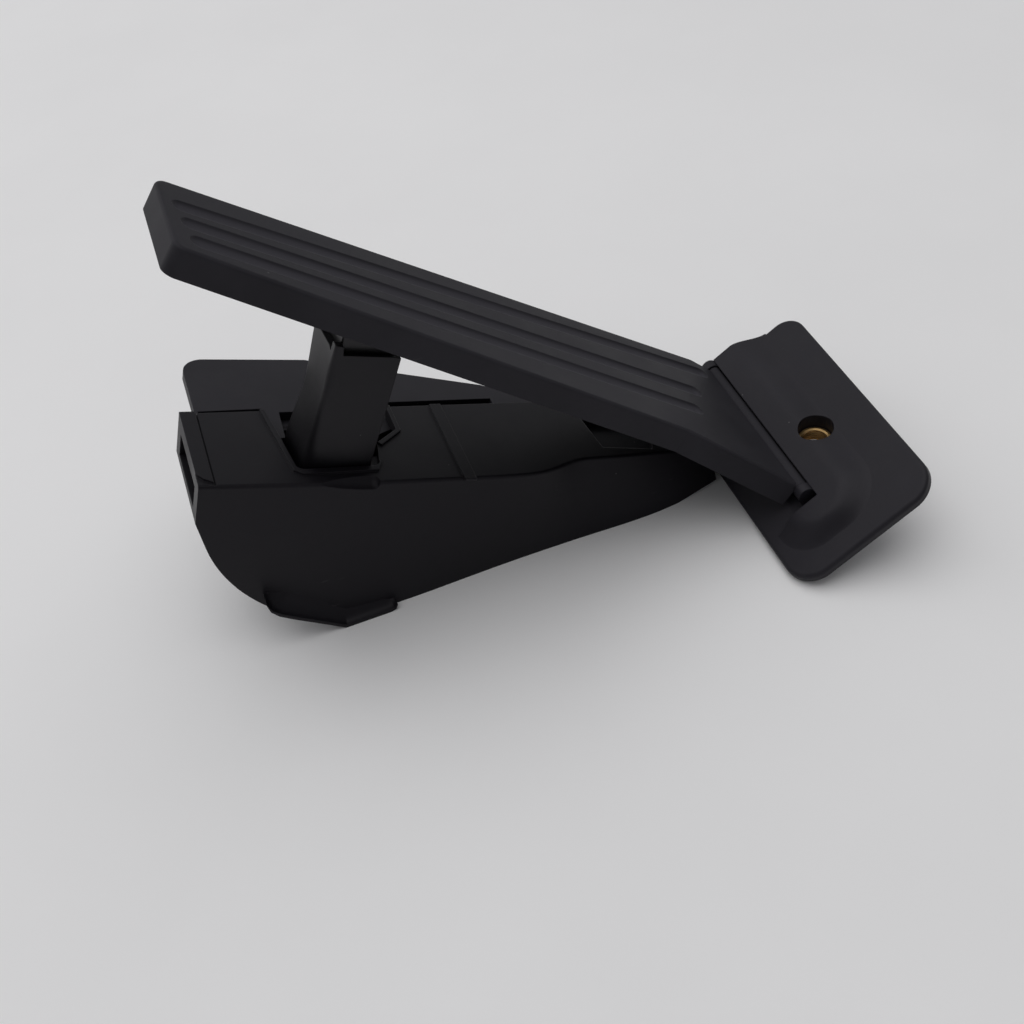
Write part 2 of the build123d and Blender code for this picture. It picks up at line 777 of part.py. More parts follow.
with BuildPart() as link_arm:
    loft(sections=[tube_section(*step, 0) for step in flare])
    loft(sections=tube_ends(arm_wall), mode=Mode.SUBTRACT)
    # rim cut nearly parallel to the treadle, with a notch in the left wall
    with BuildSketch(lid_side(arm_far + 1)):
        with BuildLine():
            Polyline((20, 45.4), (60, 35.9), (60, arm_top + 2), (20, arm_top + 2), close=True)
        make_face()
    extrude(amount=arm_far - arm_near + 2, mode=Mode.SUBTRACT)
    # near wall cut level, lower than the pointed corner
    with BuildSketch(lid_side(arm_near + arm_wall + 0.2)):
        with BuildLine():
            Polyline((32.6, 39.7), (60, 38.1), (60, arm_top + 2), (31.9, arm_top + 2), close=True)
        make_face()
    extrude(amount=arm_wall + 1, mode=Mode.SUBTRACT)
    with BuildSketch(Plane(lid_plane.from_local_coords((22, 0, 0)), x_dir=lid_plane.y_dir, z_dir=lid_plane.x_dir)):
        with BuildLine():
            Polyline((-4.2, arm_top + 2), (-3.4, 39.6), (-2.0, 40.4), (9.0, 40.4), (9.0, arm_top + 2), close=True)
        make_face()
    extrude(amount=10, mode=Mode.SUBTRACT)
    # beam to the pivot
    with BuildSketch(lid_side(beam_far)):
        with BuildLine():
            Polyline(
                (arm_s, beam_top), (pivot_s, beam_top + beam_rise), (pivot_s, pivot_n - 3.4), (arm_s, beam_under),
                close=True,
            )
        make_face()
        with Locations((pivot_s, pivot_n)):
            Circle(boss_d / 2)
    extrude(amount=beam_far - beam_near)
    # hollow underside of the beam
    with BuildSketch(lid_side(beam_far - 2)):
        with BuildLine():
            Polyline(
                (76, beam_under - 1), (76, beam_top - 2), (140, beam_top - 1), (140, beam_under - 1), close=True
            )
        make_face()
    extrude(amount=beam_far - beam_near - 4, mode=Mode.SUBTRACT)
    # spring pad with its spigot
    with BuildSketch(lid_plane.offset(beam_under)):
        with Locations((spring_s, beam_mid)):
            Circle(outer_r + outer_wire / 2 + 0.8)
    extrude(amount=2.4)
    with BuildSketch(lid_plane.offset(beam_under)):
        with Locations((spring_s, beam_mid)):
            Circle(spigot_r)
    extrude(amount=-4.0)
    # bores for the bushes and the seat of the magnet
    with BuildSketch(lid_side(beam_far + 1)):
        with Locations((pivot_s, pivot_n)):
            Circle(pivot_d / 2 + bush_wall)
    extrude(amount=beam_far - beam_near + 2, mode=Mode.SUBTRACT)
    with BuildSketch(lid_side(arm_far + magnet_boss)):
        with Locations(magnet_at):
            Rectangle(magnet_size + 2.4, magnet_size + 1.6)
    extrude(amount=magnet_boss + 0.5)
    with BuildSketch(lid_side(arm_far + magnet_boss)):
        with Locations(magnet_at):
            Rectangle(magnet_size, magnet_size)
    extrude(amount=magnet_boss - 0.4, mode=Mode.SUBTRACT)
link_arm.part.label = "link_arm"
export_step(link_arm.part, "parts/link_arm.step")

# Magnet let into the side of the arm
with BuildPart() as sensor_magnet:
    with BuildSketch(lid_side(arm_far + magnet_boss + 0.2)):
        with Locations(magnet_at):
            Rectangle(magnet_size, magnet_size)
    extrude(amount=magnet_boss - 0.2)
sensor_magnet.part.label = "sensor_magnet"
export_step(sensor_magnet.part, "parts/sensor_magnet.step")

# Slide shoe plugged into the open top of the arm, with a ball tip under the treadle
track_face = treadle_top - treadle_skin - track_thick
hinge_s = -lid_x * lid_c - (hinge_z - lid_z) * lid_t
hinge_n = -lid_x * lid_t + (hinge_z - lid_z) * lid_c
rel_c = cos(radians(treadle_slope - lid_slope))
rel_t = sin(radians(treadle_slope - lid_slope))
ball_n = hinge_n + (track_face - shoe_r - shoe_gap + (hinge_s - arm_s) * rel_t) / rel_c

arm_y = (arm_near + arm_far) / 2
neck_n = arm_top - shoe_r
with BuildPart() as slide_shoe:
    plug = arm_wall + seat_clear
    loft(sections=tube_ends(plug))
    with BuildSketch(lid_side(arm_far)):
        with BuildLine():
            Polyline(
                (20, arm_top + 1), (32, arm_top), (60, 38.6), (60, arm_top + 2), (20, arm_top + 2), close=True
            )
        make_face()
    extrude(amount=arm_far - arm_near, mode=Mode.SUBTRACT)
    with BuildSketch(lid_plane.offset(neck_n)):
        with Locations((arm_s, arm_y)):
            Circle(shoe_r - 0.8)
    extrude(amount=ball_n - neck_n)
    with Locations(lid_plane.from_local_coords((arm_s, arm_y, ball_n))):
        Sphere(shoe_r)
slide_shoe.part.label = "slide_shoe"
export_step(slide_shoe.part, "parts/slide_shoe.step")


def coil(radius, wire, turns):
    """Centre line of a coil spring between the wedge seat and the spring pad."""
    rise = spring_len - wire
    foot = lid_plane.from_local_coords((spring_s, beam_mid, beam_under - spring_len + wire / 2))
    return Helix(pitch=rise / turns, height=rise, radius=radius, center=foot, direction=lid_plane.z_dir)


with BuildPart() as return_spring_outer:
    with BuildLine() as outer_path:
        coil(outer_r, outer_wire, 4.5)
    with BuildSketch(Plane(origin=outer_path.line @ 0, z_dir=outer_path.line % 0)):
        RegularPolygon(radius=outer_wire / 2, side_count=6)
    sweep(path=outer_path.line, is_frenet=True)
return_spring_outer.part.label = "return_spring_outer"
export_step(return_spring_outer.part, "parts/return_spring_outer.step")

with BuildPart() as return_spring_inner:
    with BuildLine() as inner_path:
        coil(inner_r, inner_wire, 6.0)
    with BuildSketch(Plane(origin=inner_path.line @ 0, z_dir=inner_path.line % 0)):
        RegularPolygon(radius=inner_wire / 2, side_count=6)
    sweep(path=inner_path.line, is_frenet=True)
return_spring_inner.part.label = "return_spring_inner"
export_step(return_spring_inner.part, "parts/return_spring_inner.step")

# Wedge seat of the springs on the floor of the housing
with BuildPart() as spring_seat:
    with BuildSketch(lid_plane.offset(beam_under - spring_len)):
        with Locations((spring_s, beam_mid)):
            Circle(outer_r + outer_wire / 2 + 1.0)
    extrude(amount=-12)
    with BuildSketch(lid_plane.offset(beam_under - spring_len)):
        with Locations((spring_s, beam_mid)):
            Circle(spigot_r)
    extrude(amount=3.0)
    add(cavity.part, mode=Mode.INTERSECT)
spring_seat.part.label = "spring_seat"
export_step(spring_seat.part, "parts/spring_seat.step")

# Rubber pads at the two ends of the arm's travel
rest_s = 71.0
rest_size = 8.0
rest_level = beam_top + beam_rise * (rest_s + rest_size / 2 - arm_s) / (pivot_s - arm_s)
with BuildPart() as rest_pad:
    with BuildSketch(lid_plane.offset(plate_under)):
        with Locations((rest_s, beam_mid)):
            Rectangle(rest_size, rest_size)
        fillet(vertices(), 1.0)
    extrude(amount=rest_level + side_clear - plate_under)
rest_pad.part.label = "rest_pad"
export_step(rest_pad.part, "parts/rest_pad.step")

with BuildPart() as stop_pad:
    with BuildSketch(level(pad_z)):
        with Locations((pad_x, 4)):
            Circle(4.4)
    extrude(amount=pad_top - pad_z)
    fillet(edges().filter_by(GeomType.CIRCLE).group_by(Axis.Z)[-1], 0.8)
stop_pad.part.label = "stop_pad"
export_step(stop_pad.part, "parts/stop_pad.step")

# Treadle: tapering bar with skirt, three grooves, underside ribs and hinge barrel
tip_near = -15.4
tip_far = 19.5
kink_s = -41.9
kink_y = -26.0
flank_y = 27.1
grooves = (
    ((-201.0, 7.4), (-10.0, 18.8)),
    ((-200.0, -0.9), (-22.5, 2.9)),
    ((-199.0, -9.3), (-29.5, -9.7)),
)


def treadle_outline(inset):
    """Plan of the treadle seen square to its top face."""
    return (
        (-treadle_len + inset, tip_near + inset), (-treadle_len + inset, tip_far - inset),
        (-10.2, flank_y - inset), (-edge_gap - inset, hinge_far - inset),
        (-edge_gap - inset, hinge_near + 2 * inset), (kink_s, kink_y + 1.1 * inset),
    )


with BuildPart() as treadle:
    with BuildSketch(treadle_plane.offset(treadle_top)):
        with BuildLine():
            Polyline(*treadle_outline(0), close=True)
        make_face()
        fillet(vertices().group_by(Axis.X)[0], 3.5)
    extrude(amount=-treadle_deep)
    top_edges = faces().filter_by(treadle_plane).sort_by(Axis.Z)[-1].edges()
    fillet(top_edges.sort_by(Axis.X)[:-1], 1.2)
    with BuildSketch(treadle_plane.offset(treadle_top - treadle_skin)):
        with BuildLine():
            Polyline(*treadle_outline(skirt), close=True)
        make_face()
        fillet(vertices().group_by(Axis.X)[0], 1.5)
    extrude(amount=-treadle_deep, mode=Mode.SUBTRACT)
    # ribs in the hollow underside
    for s in (-190, -172, -118, -94, -70, -46, -22):
        with BuildSketch(treadle_plane.offset(treadle_top - treadle_skin + 0.2)):
            with Locations((s, 2.5)):
                Rectangle(1.6, 33.0 if s < -100 else 44.0)
        extrude(amount=-4.6)
    for y in (-8.5, 13.0):
        with BuildSketch(treadle_plane.offset(treadle_top - treadle_skin + 0.2)):
            with Locations((-106, y)):
                Rectangle(190, 1.6)
        extrude(amount=-4.6)
    # hinge barrel
    with BuildSketch(level_side(hinge_far)):
        with Locations((0, hinge_z)):
            Circle(hinge_barrel_d / 2)
    extrude(amount=hinge_far - hinge_near)
    with BuildSketch(level_side(hinge_far + 1)):
        with Locations((0, hinge_z)):
            Circle(hinge_pin_d / 2 + bore_clear)
    extrude(amount=hinge_far - hinge_near + 2, mode=Mode.SUBTRACT)
    # grooves with round ends
    lift = treadle_top + groove_r - groove_deep
    for (s0, y0), (s1, y1) in grooves:
        start = treadle_plane.from_local_coords((s0, y0, lift))
        end = treadle_plane.from_local_coords((s1, y1, lift))
        with BuildSketch(Plane(origin=start, z_dir=end - start)):
            Circle(groove_r)
        extrude(amount=hypot(s1 - s0, y1 - y0), mode=Mode.SUBTRACT)
        with Locations(start, end):
            Sphere(groove_r, mode=Mode.SUBTRACT)
treadle.part.label = "treadle"
export_step(treadle.part, "parts/treadle.step")

# Steel track plate under the treadle for the ball tip
with BuildPart() as track_plate:
    with BuildSketch(treadle_plane.offset(treadle_top - treadle_skin)):
        with Locations((track_s, track_y)):
            Rectangle(track_len, track_wide)
        fillet(vertices(), 1.0)
    extrude(amount=-track_thick)
track_plate.part.label = "track_plate"
export_step(track_plate.part, "parts/track_plate.step")

# Hinge pin, blind in the near lug, and its push on ring at the far end
ring_thick = 0.8
with BuildPart() as hinge_pin:
    with BuildSketch(level_side(hump_far + ring_thick + 0.5)):
        with Locations((0, hinge_z)):
            Circle(hinge_pin_d / 2)
    extrude(amount=hump_far - lug_end + ring_thick - 0.8)
hinge_pin.part.label = "hinge_pin"
export_step(hinge_pin.part, "parts/hinge_pin.step")

with BuildPart() as hinge_ring:
    with BuildSketch(level_side(hump_far + ring_thick)):
        with Locations((0, hinge_z)):
            Circle(hinge_pin_d / 2 + 1.1)
            Circle(hinge_pin_d / 2, mode=Mode.SUBTRACT)
    extrude(amount=ring_thick)
hinge_ring.part.label = "hinge_ring"
export_step(hinge_ring.part, "parts/hinge_ring.step")
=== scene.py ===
import json
from math import cos, pi, radians, sin

import bpy
import bmesh
import numpy as np
from mathutils import Matrix, Vector


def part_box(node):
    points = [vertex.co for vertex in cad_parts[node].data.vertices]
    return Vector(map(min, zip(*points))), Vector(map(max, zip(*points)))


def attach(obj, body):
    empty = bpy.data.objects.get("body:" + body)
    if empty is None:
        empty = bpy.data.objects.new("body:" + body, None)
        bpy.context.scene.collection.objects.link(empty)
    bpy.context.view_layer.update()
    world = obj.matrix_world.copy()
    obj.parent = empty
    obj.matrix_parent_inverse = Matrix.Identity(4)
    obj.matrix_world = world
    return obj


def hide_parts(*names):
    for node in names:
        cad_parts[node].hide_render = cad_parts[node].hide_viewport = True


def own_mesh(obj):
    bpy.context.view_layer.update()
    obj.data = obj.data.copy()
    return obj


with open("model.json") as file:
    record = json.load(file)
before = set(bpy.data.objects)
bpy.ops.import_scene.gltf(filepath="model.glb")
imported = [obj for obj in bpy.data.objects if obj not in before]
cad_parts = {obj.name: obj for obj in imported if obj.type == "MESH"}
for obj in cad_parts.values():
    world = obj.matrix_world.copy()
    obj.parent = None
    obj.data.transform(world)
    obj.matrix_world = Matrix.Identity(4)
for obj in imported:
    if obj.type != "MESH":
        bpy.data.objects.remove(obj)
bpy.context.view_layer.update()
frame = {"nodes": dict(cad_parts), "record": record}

bl_info = {
    "name": "Accelerator pedal looks",
    "version": (1, 0, 0),
    "blender": (4, 5, 0),
    "location": "3D View > Sidebar > Pedal",
    "description": "Dresses the packed accelerator pedal in its finishes and sets the stage round it",
    "category": "Object",
}

MM = 0.001
# The lid's plane: a point on it and its slope from level, in the row frame
LID_POINT = Vector((-96.162, 6.0, 68.4)) * MM
LID_SLOPE = radians(-20.2)
# The treadle's plane through the hinge axis, the level of its top above that and the depth of its grooves
TREAD_POINT = Vector((74.138, 6.0, 15.145)) * MM
TREAD_SLOPE = radians(-39.7)
TREAD_TOP = 0.8 * MM
GROOVE_DEEP = 1.2 * MM
# Springs, from the foot on their seat to the arm: foot in lid coordinates and length, in millimetres
SPRING_FOOT = (62.0, 4.0, -43.0)
SPRING_LONG = 26.0
# Screws of the back cover as (x, z) in the row frame and of the flange plate as (s, y) on the lid, the level of that
# plate's underside from the lid and the heights of the heads, in millimetres
COVER_SCREWS = ((-94.362, 38.0), (-84.862, 15.2), (-20.862, 5.8), (48.638, 4.8))
PLATE_SCREWS = ((70.0, 16.0), (108.0, 16.0), (72.0, -7.0))
PLATE_UNDER = -6.1
COVER_HEAD = 2.0
PLATE_HEAD = 1.8
# Dark sheet under the flange plate's cutout that stands in for the shade in the gap there (painted shade): its ends
# along s, its middle (y, n), half its width and thickness and the run of its rounded ends, in millimetres
SHADE_SHEET_ENDS = (24.2, 54.5)
SHADE_SHEET_MIDDLE = (24.2, -6.6)
SHADE_SHEET_HALF = (2.2, 0.4)
SHADE_SHEET_ROUND = 0.3
# Terminals: the tip of their row's middle in lid coordinates, their count and pitch, in millimetres
PIN_MIDDLE = (3.0, 5.25, -7.8)
PIN_COUNT = 6
PIN_PITCH = 4.0
# Camera of the photograph in the row frame
CAMERA_SPOT = Vector((-0.076962, -0.2882, 0.3164))
CAMERA_AHEAD = Vector((0.1526, 0.6807, -0.7165))
CAMERA_RIGHT = Vector((0.9348, -0.3346, -0.1188))
# Moulded plastic: tint of its reflections, swing of its mottle and gain of its colour where it is rubbed
SHEEN_TINT = (0.97, 0.94, 1.0, 1.0)
MOTTLE = 0.14
RUBBED = 2.2
# Gain of the treadle's colour on the floors of its grooves: painted light that lifts the shade in the grooves
GROOVE_LIFT = 1.85
MOUNTS = {mount["name"]: mount for mount in frame["record"]["mounts"]}


def plane_axes(slope):
    """Unit vectors along the slope, across the pedal and square to a working plane."""
    return (
        np.array((cos(slope), 0.0, sin(slope))),
        np.array((0.0, 1.0, 0.0)),
        np.array((-sin(slope), 0.0, cos(slope))),
    )


def on_lid(s, y, n):
    """Row point that lies s along the lid, y across and n above it, all in millimetres."""
    along, across, up = plane_axes(LID_SLOPE)
    return np.array(LID_POINT) + MM * (s * along + y * across + n * up)


class PedalSizes(bpy.types.PropertyGroup):
    """Small sizes of the finish and of the pieces that Blender draws."""

    grain: bpy.props.FloatProperty(
        name="Grain", description="Width of one grain of the moulded plastic", default=0.00042, unit="LENGTH"
    )
    soft_edge: bpy.props.FloatProperty(
        name="Soft edge", description="Radius that rounds the moulded edges", default=0.00045, unit="LENGTH"
    )
    thread_pitch: bpy.props.FloatProperty(
        name="Thread pitch", description="Rise of the lines in the brass bush", default=0.00095, unit="LENGTH"
    )
    thread_depth: bpy.props.FloatProperty(
        name="Thread depth", description="Depth of the lines in the brass bush", default=0.00035, unit="LENGTH"
    )
    outer_wire: bpy.props.FloatProperty(
        name="Outer wire", description="Wire of the outer return spring", default=0.0014, unit="LENGTH"
    )
    inner_wire: bpy.props.FloatProperty(
        name="Inner wire", description="Wire of the inner return spring", default=0.0010, unit="LENGTH"
    )
    pin_size: bpy.props.FloatProperty(
        name="Terminal", description="Width of a terminal blade", default=0.0008, unit="LENGTH"
    )
    head_dome: bpy.props.FloatProperty(
        name="Screw dome", description="Rise of a screw head's crown", default=0.0007, unit="LENGTH"
    )


class PedalColours(bpy.types.PropertyGroup):
    """Colours of the finishes, as linear values."""

    shell: bpy.props.FloatVectorProperty(
        name="Housing", description="Satin black of the housing", subtype="COLOR", size=3, min=0, max=1,
        default=(0.0062, 0.0056, 0.0075),
    )
    flange: bpy.props.FloatVectorProperty(
        name="Frame", description="Black of the flange and foot plate", subtype="COLOR", size=3, min=0, max=1,
        default=(0.0152, 0.0142, 0.0178),
    )
    tread: bpy.props.FloatVectorProperty(
        name="Treadle", description="Black of the treadle", subtype="COLOR", size=3, min=0, max=1,
        default=(0.0225, 0.0215, 0.0255),
    )
    arm: bpy.props.FloatVectorProperty(
        name="Link arm", description="Black of the link arm", subtype="COLOR", size=3, min=0, max=1,
        default=(0.0044, 0.0041, 0.0053),
    )
    brass: bpy.props.FloatVectorProperty(
        name="Brass", description="Turned brass of the bushes", subtype="COLOR", size=3, min=0, max=1,
        default=(0.52, 0.34, 0.15),
    )
    zinc: bpy.props.FloatVectorProperty(
        name="Zinc", description="Zinc coat of the screws", subtype="COLOR", size=3, min=0, max=1,
        default=(0.56, 0.56, 0.54),
    )
    board: bpy.props.FloatVectorProperty(
        name="Board", description="Solder mask of the sensor board", subtype="COLOR", size=3, min=0, max=1,
        default=(0.008, 0.016, 0.011),
    )
    dust: bpy.props.FloatVectorProperty(
        name="Dust", description="Pale dust and lint", subtype="COLOR", size=3, min=0, max=1,
        default=(0.42, 0.41, 0.40),
    )


class PedalStage(bpy.types.PropertyGroup):
    """Floor, lamps and camera."""

    floor: bpy.props.FloatVectorProperty(
        name="Floor", description="Pale grey of the table", subtype="COLOR", size=3, min=0, max=1,
        default=(0.90, 0.892, 0.895),
    )
    world: bpy.props.FloatProperty(name="World", description="Level of the room light", default=0.42, min=0)
    lamp: bpy.props.FloatProperty(
        name="Lamp", description="Power of the wide lamp overhead", default=13.0, min=0, unit="POWER"
    )
    lens: bpy.props.FloatProperty(
        name="Lens", description="Focal length on a 36 mm frame", default=45.70, min=1, unit="CAMERA"
    )


# Meshes from arrays


def grid_mesh(name, points, wrap_u=False, wrap_v=False):
    """Mesh of a surface P(u, v) given as an array (u, v, 3): each cell of the grid is one quad, a wrapped
    direction joins its last row to its first, and rows that shrink to a point are merged into a pole."""
    rows, cols = points.shape[:2]
    index = np.arange(rows * cols).reshape(rows, cols)
    u = np.arange(rows if wrap_u else rows - 1)
    v = np.arange(cols if wrap_v else cols - 1)
    next_u, next_v = (u + 1) % rows, (v + 1) % cols
    quads = np.stack(
        (
            index[np.ix_(u, v)], index[np.ix_(next_u, v)], index[np.ix_(next_u, next_v)], index[np.ix_(u, next_v)],
        ),
        axis=-1,
    ).reshape(-1, 4)
    mesh = bpy.data.meshes.new(name)
    mesh.from_pydata(points.reshape(-1, 3).tolist(), [], quads.tolist())
    work = bmesh.new()
    work.from_mesh(mesh)
    bmesh.ops.remove_doubles(work, verts=work.verts, dist=1e-7)
    bmesh.ops.recalc_face_normals(work, faces=work.faces)
    for face in work.faces:
        face.smooth = True
    work.to_mesh(mesh)
    work.free()
    return mesh


def joined(name, meshes):
    """One mesh that holds several."""
    work = bmesh.new()
    for mesh in meshes:
        work.from_mesh(mesh)
        bpy.data.meshes.remove(mesh)
    mesh = bpy.data.meshes.new(name)
    work.to_mesh(mesh)
    work.free()
    return mesh


def place(points, origin, x_axis, y_axis, z_axis):
    """Carries an array of local points to the row frame: origin + x X + y Y + z Z."""
    return (
        np.asarray(origin) + points[..., :1] * np.asarray(x_axis) + points[..., 1:2] * np.asarray(y_axis)
        + points[..., 2:] * np.asarray(z_axis)
    )


def turned(profile, around, origin, x_axis, y_axis, z_axis):
    """Surface of revolution: a profile of (radius, height) points swept through the angle v,
    P(u, v) = (r(u) cos v, r(u) sin v, z(u)), then carried to its place."""
    angle = np.linspace(0, 2 * pi, around, endpoint=False)
    r, z = np.asarray(profile, float).T
    local = np.stack(
        (np.outer(r, np.cos(angle)), np.outer(r, np.sin(angle)), np.repeat(z[:, None], around, axis=1)), axis=-1
    )
    return place(local, origin, x_axis, y_axis, z_axis)


def round_square(angle):
    """Unit section of a rounded square: (cos v, sin v) (|cos v|^8 + |sin v|^8)^(-1/8), as two arrays."""
    c, s = np.cos(angle), np.sin(angle)
    reach = 1.0 / (np.abs(c) ** 8 + np.abs(s) ** 8) ** 0.125
    return reach * c, reach * s


def add_piece(name, mesh, body, material, replaced=()):
    """Puts a mesh into the scene as a piece that rides on a body and stands for CAD nodes."""
    mesh.materials.clear()
    mesh.materials.append(material)
    piece = bpy.data.objects.new(name, mesh)
    bpy.context.scene.collection.objects.link(piece)
    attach(piece, body)
    if replaced:
        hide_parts(*replaced)
    return piece


def smooth_by_angle(mesh, degrees):
    """Marks edges sharper than an angle, so that flats stay flat and rounds stay round."""
    mesh.set_sharp_from_angle(angle=radians(degrees))


def dress(node, material):
    """Gives a CAD node its finish."""
    frame["nodes"][node].data.materials[0] = material


# Node trees


def add_node(tree, kind, settings=None, **inputs):
    """Adds a shader node; each input is a plain value or the socket that feeds it."""
    made = tree.nodes.new("ShaderNode" + kind)
    for key, value in (settings or {}).items():
        setattr(made, key, value)
    for key, value in inputs.items():
        place_in = made.inputs[int(key[1:]) if key[0] == "_" else key.replace("__", " ")]
        if isinstance(value, bpy.types.NodeSocket):
            tree.links.new(value, place_in)
        else:
            place_in.default_value = value
    return made


def maths(tree, operation, a, b=0.0, clamp=False):
    """Socket with the result of one sum on two values or sockets."""
    return add_node(tree, "Math", {"operation": operation, "use_clamp": clamp}, _0=a, _1=b).outputs[0]


def ramp(tree, value, low, high, start=0.0, end=1.0):
    """Smooth step of a value between two levels."""
    made = add_node(
        tree, "MapRange", {"interpolation_type": "SMOOTHSTEP"}, Value=value, From__Min=low, From__Max=high,
        To__Min=start, To__Max=end,
    )
    return made.outputs[0]


def blend_colour(tree, factor, a, b):
    """Socket with a colour between a and b: a where the factor is 0, b where it is 1."""
    made = tree.nodes.new("ShaderNodeMix")
    made.data_type = "RGBA"
    for socket, value in ((made.inputs[0], factor), (made.inputs[6], a), (made.inputs[7], b)):
        if isinstance(value, bpy.types.NodeSocket):
            tree.links.new(value, socket)
        else:
            socket.default_value = value
    return made.outputs[2]


def group_tree(name, inputs, outputs):
    """New shader group with named sockets: its tree, its input node and its output node."""
    tree = bpy.data.node_groups.new(name, "ShaderNodeTree")
    for label, kind, default in inputs:
        socket = tree.interface.new_socket(label, in_out="INPUT", socket_type="NodeSocket" + kind)
        if default is not None:
            socket.default_value = default
    for label, kind in outputs:
        tree.interface.new_socket(label, in_out="OUTPUT", socket_type="NodeSocket" + kind)
    return tree, tree.nodes.new("NodeGroupInput"), tree.nodes.new("NodeGroupOutput")


def moulded_grain():
    """Spark eroded mould grain: fine noise and rounded cells give the height, broad noise gives mottle."""
    if "Moulded grain" in bpy.data.node_groups:
        return bpy.data.node_groups["Moulded grain"]
    tree, given, result = group_tree(
        "Moulded grain", (("Vector", "Vector", None), ("Size", "Float", 0.0004)),
        (("Height", "Float"), ("Mottle", "Float")),
    )
    scale = maths(tree, "DIVIDE", 1.0, given.outputs["Size"])
    fine = add_node(tree, "TexNoise", None, Vector=given.outputs["Vector"], Scale=scale, Detail=2.0, Roughness=0.6)
    cells = add_node(
        tree, "TexVoronoi", {"feature": "SMOOTH_F1"}, Vector=given.outputs["Vector"],
        Scale=maths(tree, "MULTIPLY", scale, 0.55),
    )
    rounded = maths(tree, "SUBTRACT", 1.0, cells.outputs["Distance"])
    height = maths(tree, "ADD", maths(tree, "MULTIPLY", fine.outputs[0], 0.55), maths(tree, "MULTIPLY", rounded, 0.45))
    broad = add_node(tree, "TexNoise", None, Vector=given.outputs["Vector"], Scale=42.0, Detail=4.0, Roughness=0.55)
    tree.links.new(height, result.inputs["Height"])
    tree.links.new(ramp(tree, broad.outputs[0], 0.3, 0.7), result.inputs["Mottle"])
    return tree


def worn_edges():
    """Rounded normal at moulded edges, and a mask of where hands and tools have rubbed them."""
    if "Worn edges" in bpy.data.node_groups:
        return bpy.data.node_groups["Worn edges"]
    tree, given, result = group_tree(
        "Worn edges", (("Vector", "Vector", None), ("Radius", "Float", 0.0004), ("Amount", "Float", 0.5)),
        (("Mask", "Float"), ("Normal", "Vector")),
    )
    soft = add_node(tree, "Bevel", {"samples": 6}, Radius=given.outputs["Radius"])
    flat = add_node(tree, "NewGeometry")
    near = add_node(
        tree, "VectorMath", {"operation": "DOT_PRODUCT"}, _0=soft.outputs[0], _1=flat.outputs["Normal"]
    ).outputs["Value"]
    edge = ramp(tree, maths(tree, "SUBTRACT", 1.0, near), 0.02, 0.22)
    patches = add_node(tree, "TexNoise", None, Vector=given.outputs["Vector"], Scale=95.0, Detail=5.0, Roughness=0.65)
    worn = maths(tree, "MULTIPLY", edge, ramp(tree, patches.outputs[0], 0.45, 0.68))
    tree.links.new(maths(tree, "MULTIPLY", worn, given.outputs["Amount"]), result.inputs["Mask"])
    tree.links.new(soft.outputs[0], result.inputs["Normal"])
    return tree


def settled_dust():
    """Thin dust on faces that look up, with lint specks a fraction of a millimetre wide and short scuffs."""
    if "Settled dust" in bpy.data.node_groups:
        return bpy.data.node_groups["Settled dust"]
    tree, given, result = group_tree(
        "Settled dust", (("Vector", "Vector", None), ("Amount", "Float", 0.05)),
        (("Film", "Float"), ("Specks", "Float")),
    )
    facing = add_node(tree, "SeparateXYZ", None, Vector=add_node(tree, "NewGeometry").outputs["Normal"]).outputs["Z"]
    cloud = add_node(tree, "TexNoise", None, Vector=given.outputs["Vector"], Scale=60.0, Detail=6.0, Roughness=0.7)
    film = maths(tree, "MULTIPLY", ramp(tree, facing, 0.2, 0.95), ramp(tree, cloud.outputs[0], 0.42, 0.75))
    cells = add_node(tree, "TexVoronoi", None, Vector=given.outputs["Vector"], Scale=170.0)
    chosen = ramp(tree, add_node(tree, "SeparateColor", None, Color=cells.outputs["Color"]).outputs[0], 0.90, 0.93)
    dot = ramp(tree, cells.outputs["Distance"], 0.03, 0.055, 1.0, 0.0)
    streak = add_node(
        tree, "TexNoise", None,
        Vector=add_node(
            tree, "Mapping", None, Vector=given.outputs["Vector"], Rotation=(0.3, 0.2, 0.6), Scale=(60.0, 1500.0, 500.0)
        ).outputs[0],
        Scale=1.0, Detail=1.0,
    )
    where = add_node(tree, "TexNoise", None, Vector=given.outputs["Vector"], Scale=33.0, Detail=1.0)
    scuff = maths(
        tree, "MULTIPLY", ramp(tree, streak.outputs[0], 0.70, 0.78), ramp(tree, where.outputs[0], 0.60, 0.70)
    )
    specks = maths(
        tree, "ADD", maths(tree, "MULTIPLY", dot, chosen), maths(tree, "MULTIPLY", scuff, 0.2), clamp=True
    )
    tree.links.new(maths(tree, "MULTIPLY", film, given.outputs["Amount"]), result.inputs["Film"])
    tree.links.new(specks, result.inputs["Specks"])
    return tree


def groove_floor_lift():
    """Mask of the floors of shallow grooves, where painted light lifts the shade: surface that faces out of a plane and
    lies just below it.
    """
    if "Groove floor lift" in bpy.data.node_groups:
        return bpy.data.node_groups["Groove floor lift"]
    tree, given, result = group_tree(
        "Groove floor lift",
        (("Vector", "Vector", None), ("Facing", "Vector", None), ("Level", "Float", 0.0), ("Depth", "Float", 0.001)),
        (("Mask", "Float"),),
    )

    def outward_part(vector):
        """Share of a vector that points out of the plane."""
        made = add_node(tree, "VectorMath", {"operation": "DOT_PRODUCT"}, _0=vector, _1=given.outputs["Facing"])
        return made.outputs["Value"]

    above = maths(tree, "SUBTRACT", outward_part(given.outputs["Vector"]), given.outputs["Level"])
    share = maths(tree, "DIVIDE", above, given.outputs["Depth"])
    inside = maths(tree, "MULTIPLY", ramp(tree, share, -0.75, -0.1, 1.0, 0.0), ramp(tree, share, -1.5, -1.2))
    outward = ramp(tree, outward_part(add_node(tree, "NewGeometry").outputs["Normal"]), 0.5, 0.8)
    tree.links.new(maths(tree, "MULTIPLY", inside, outward), result.inputs["Mask"])
    return tree


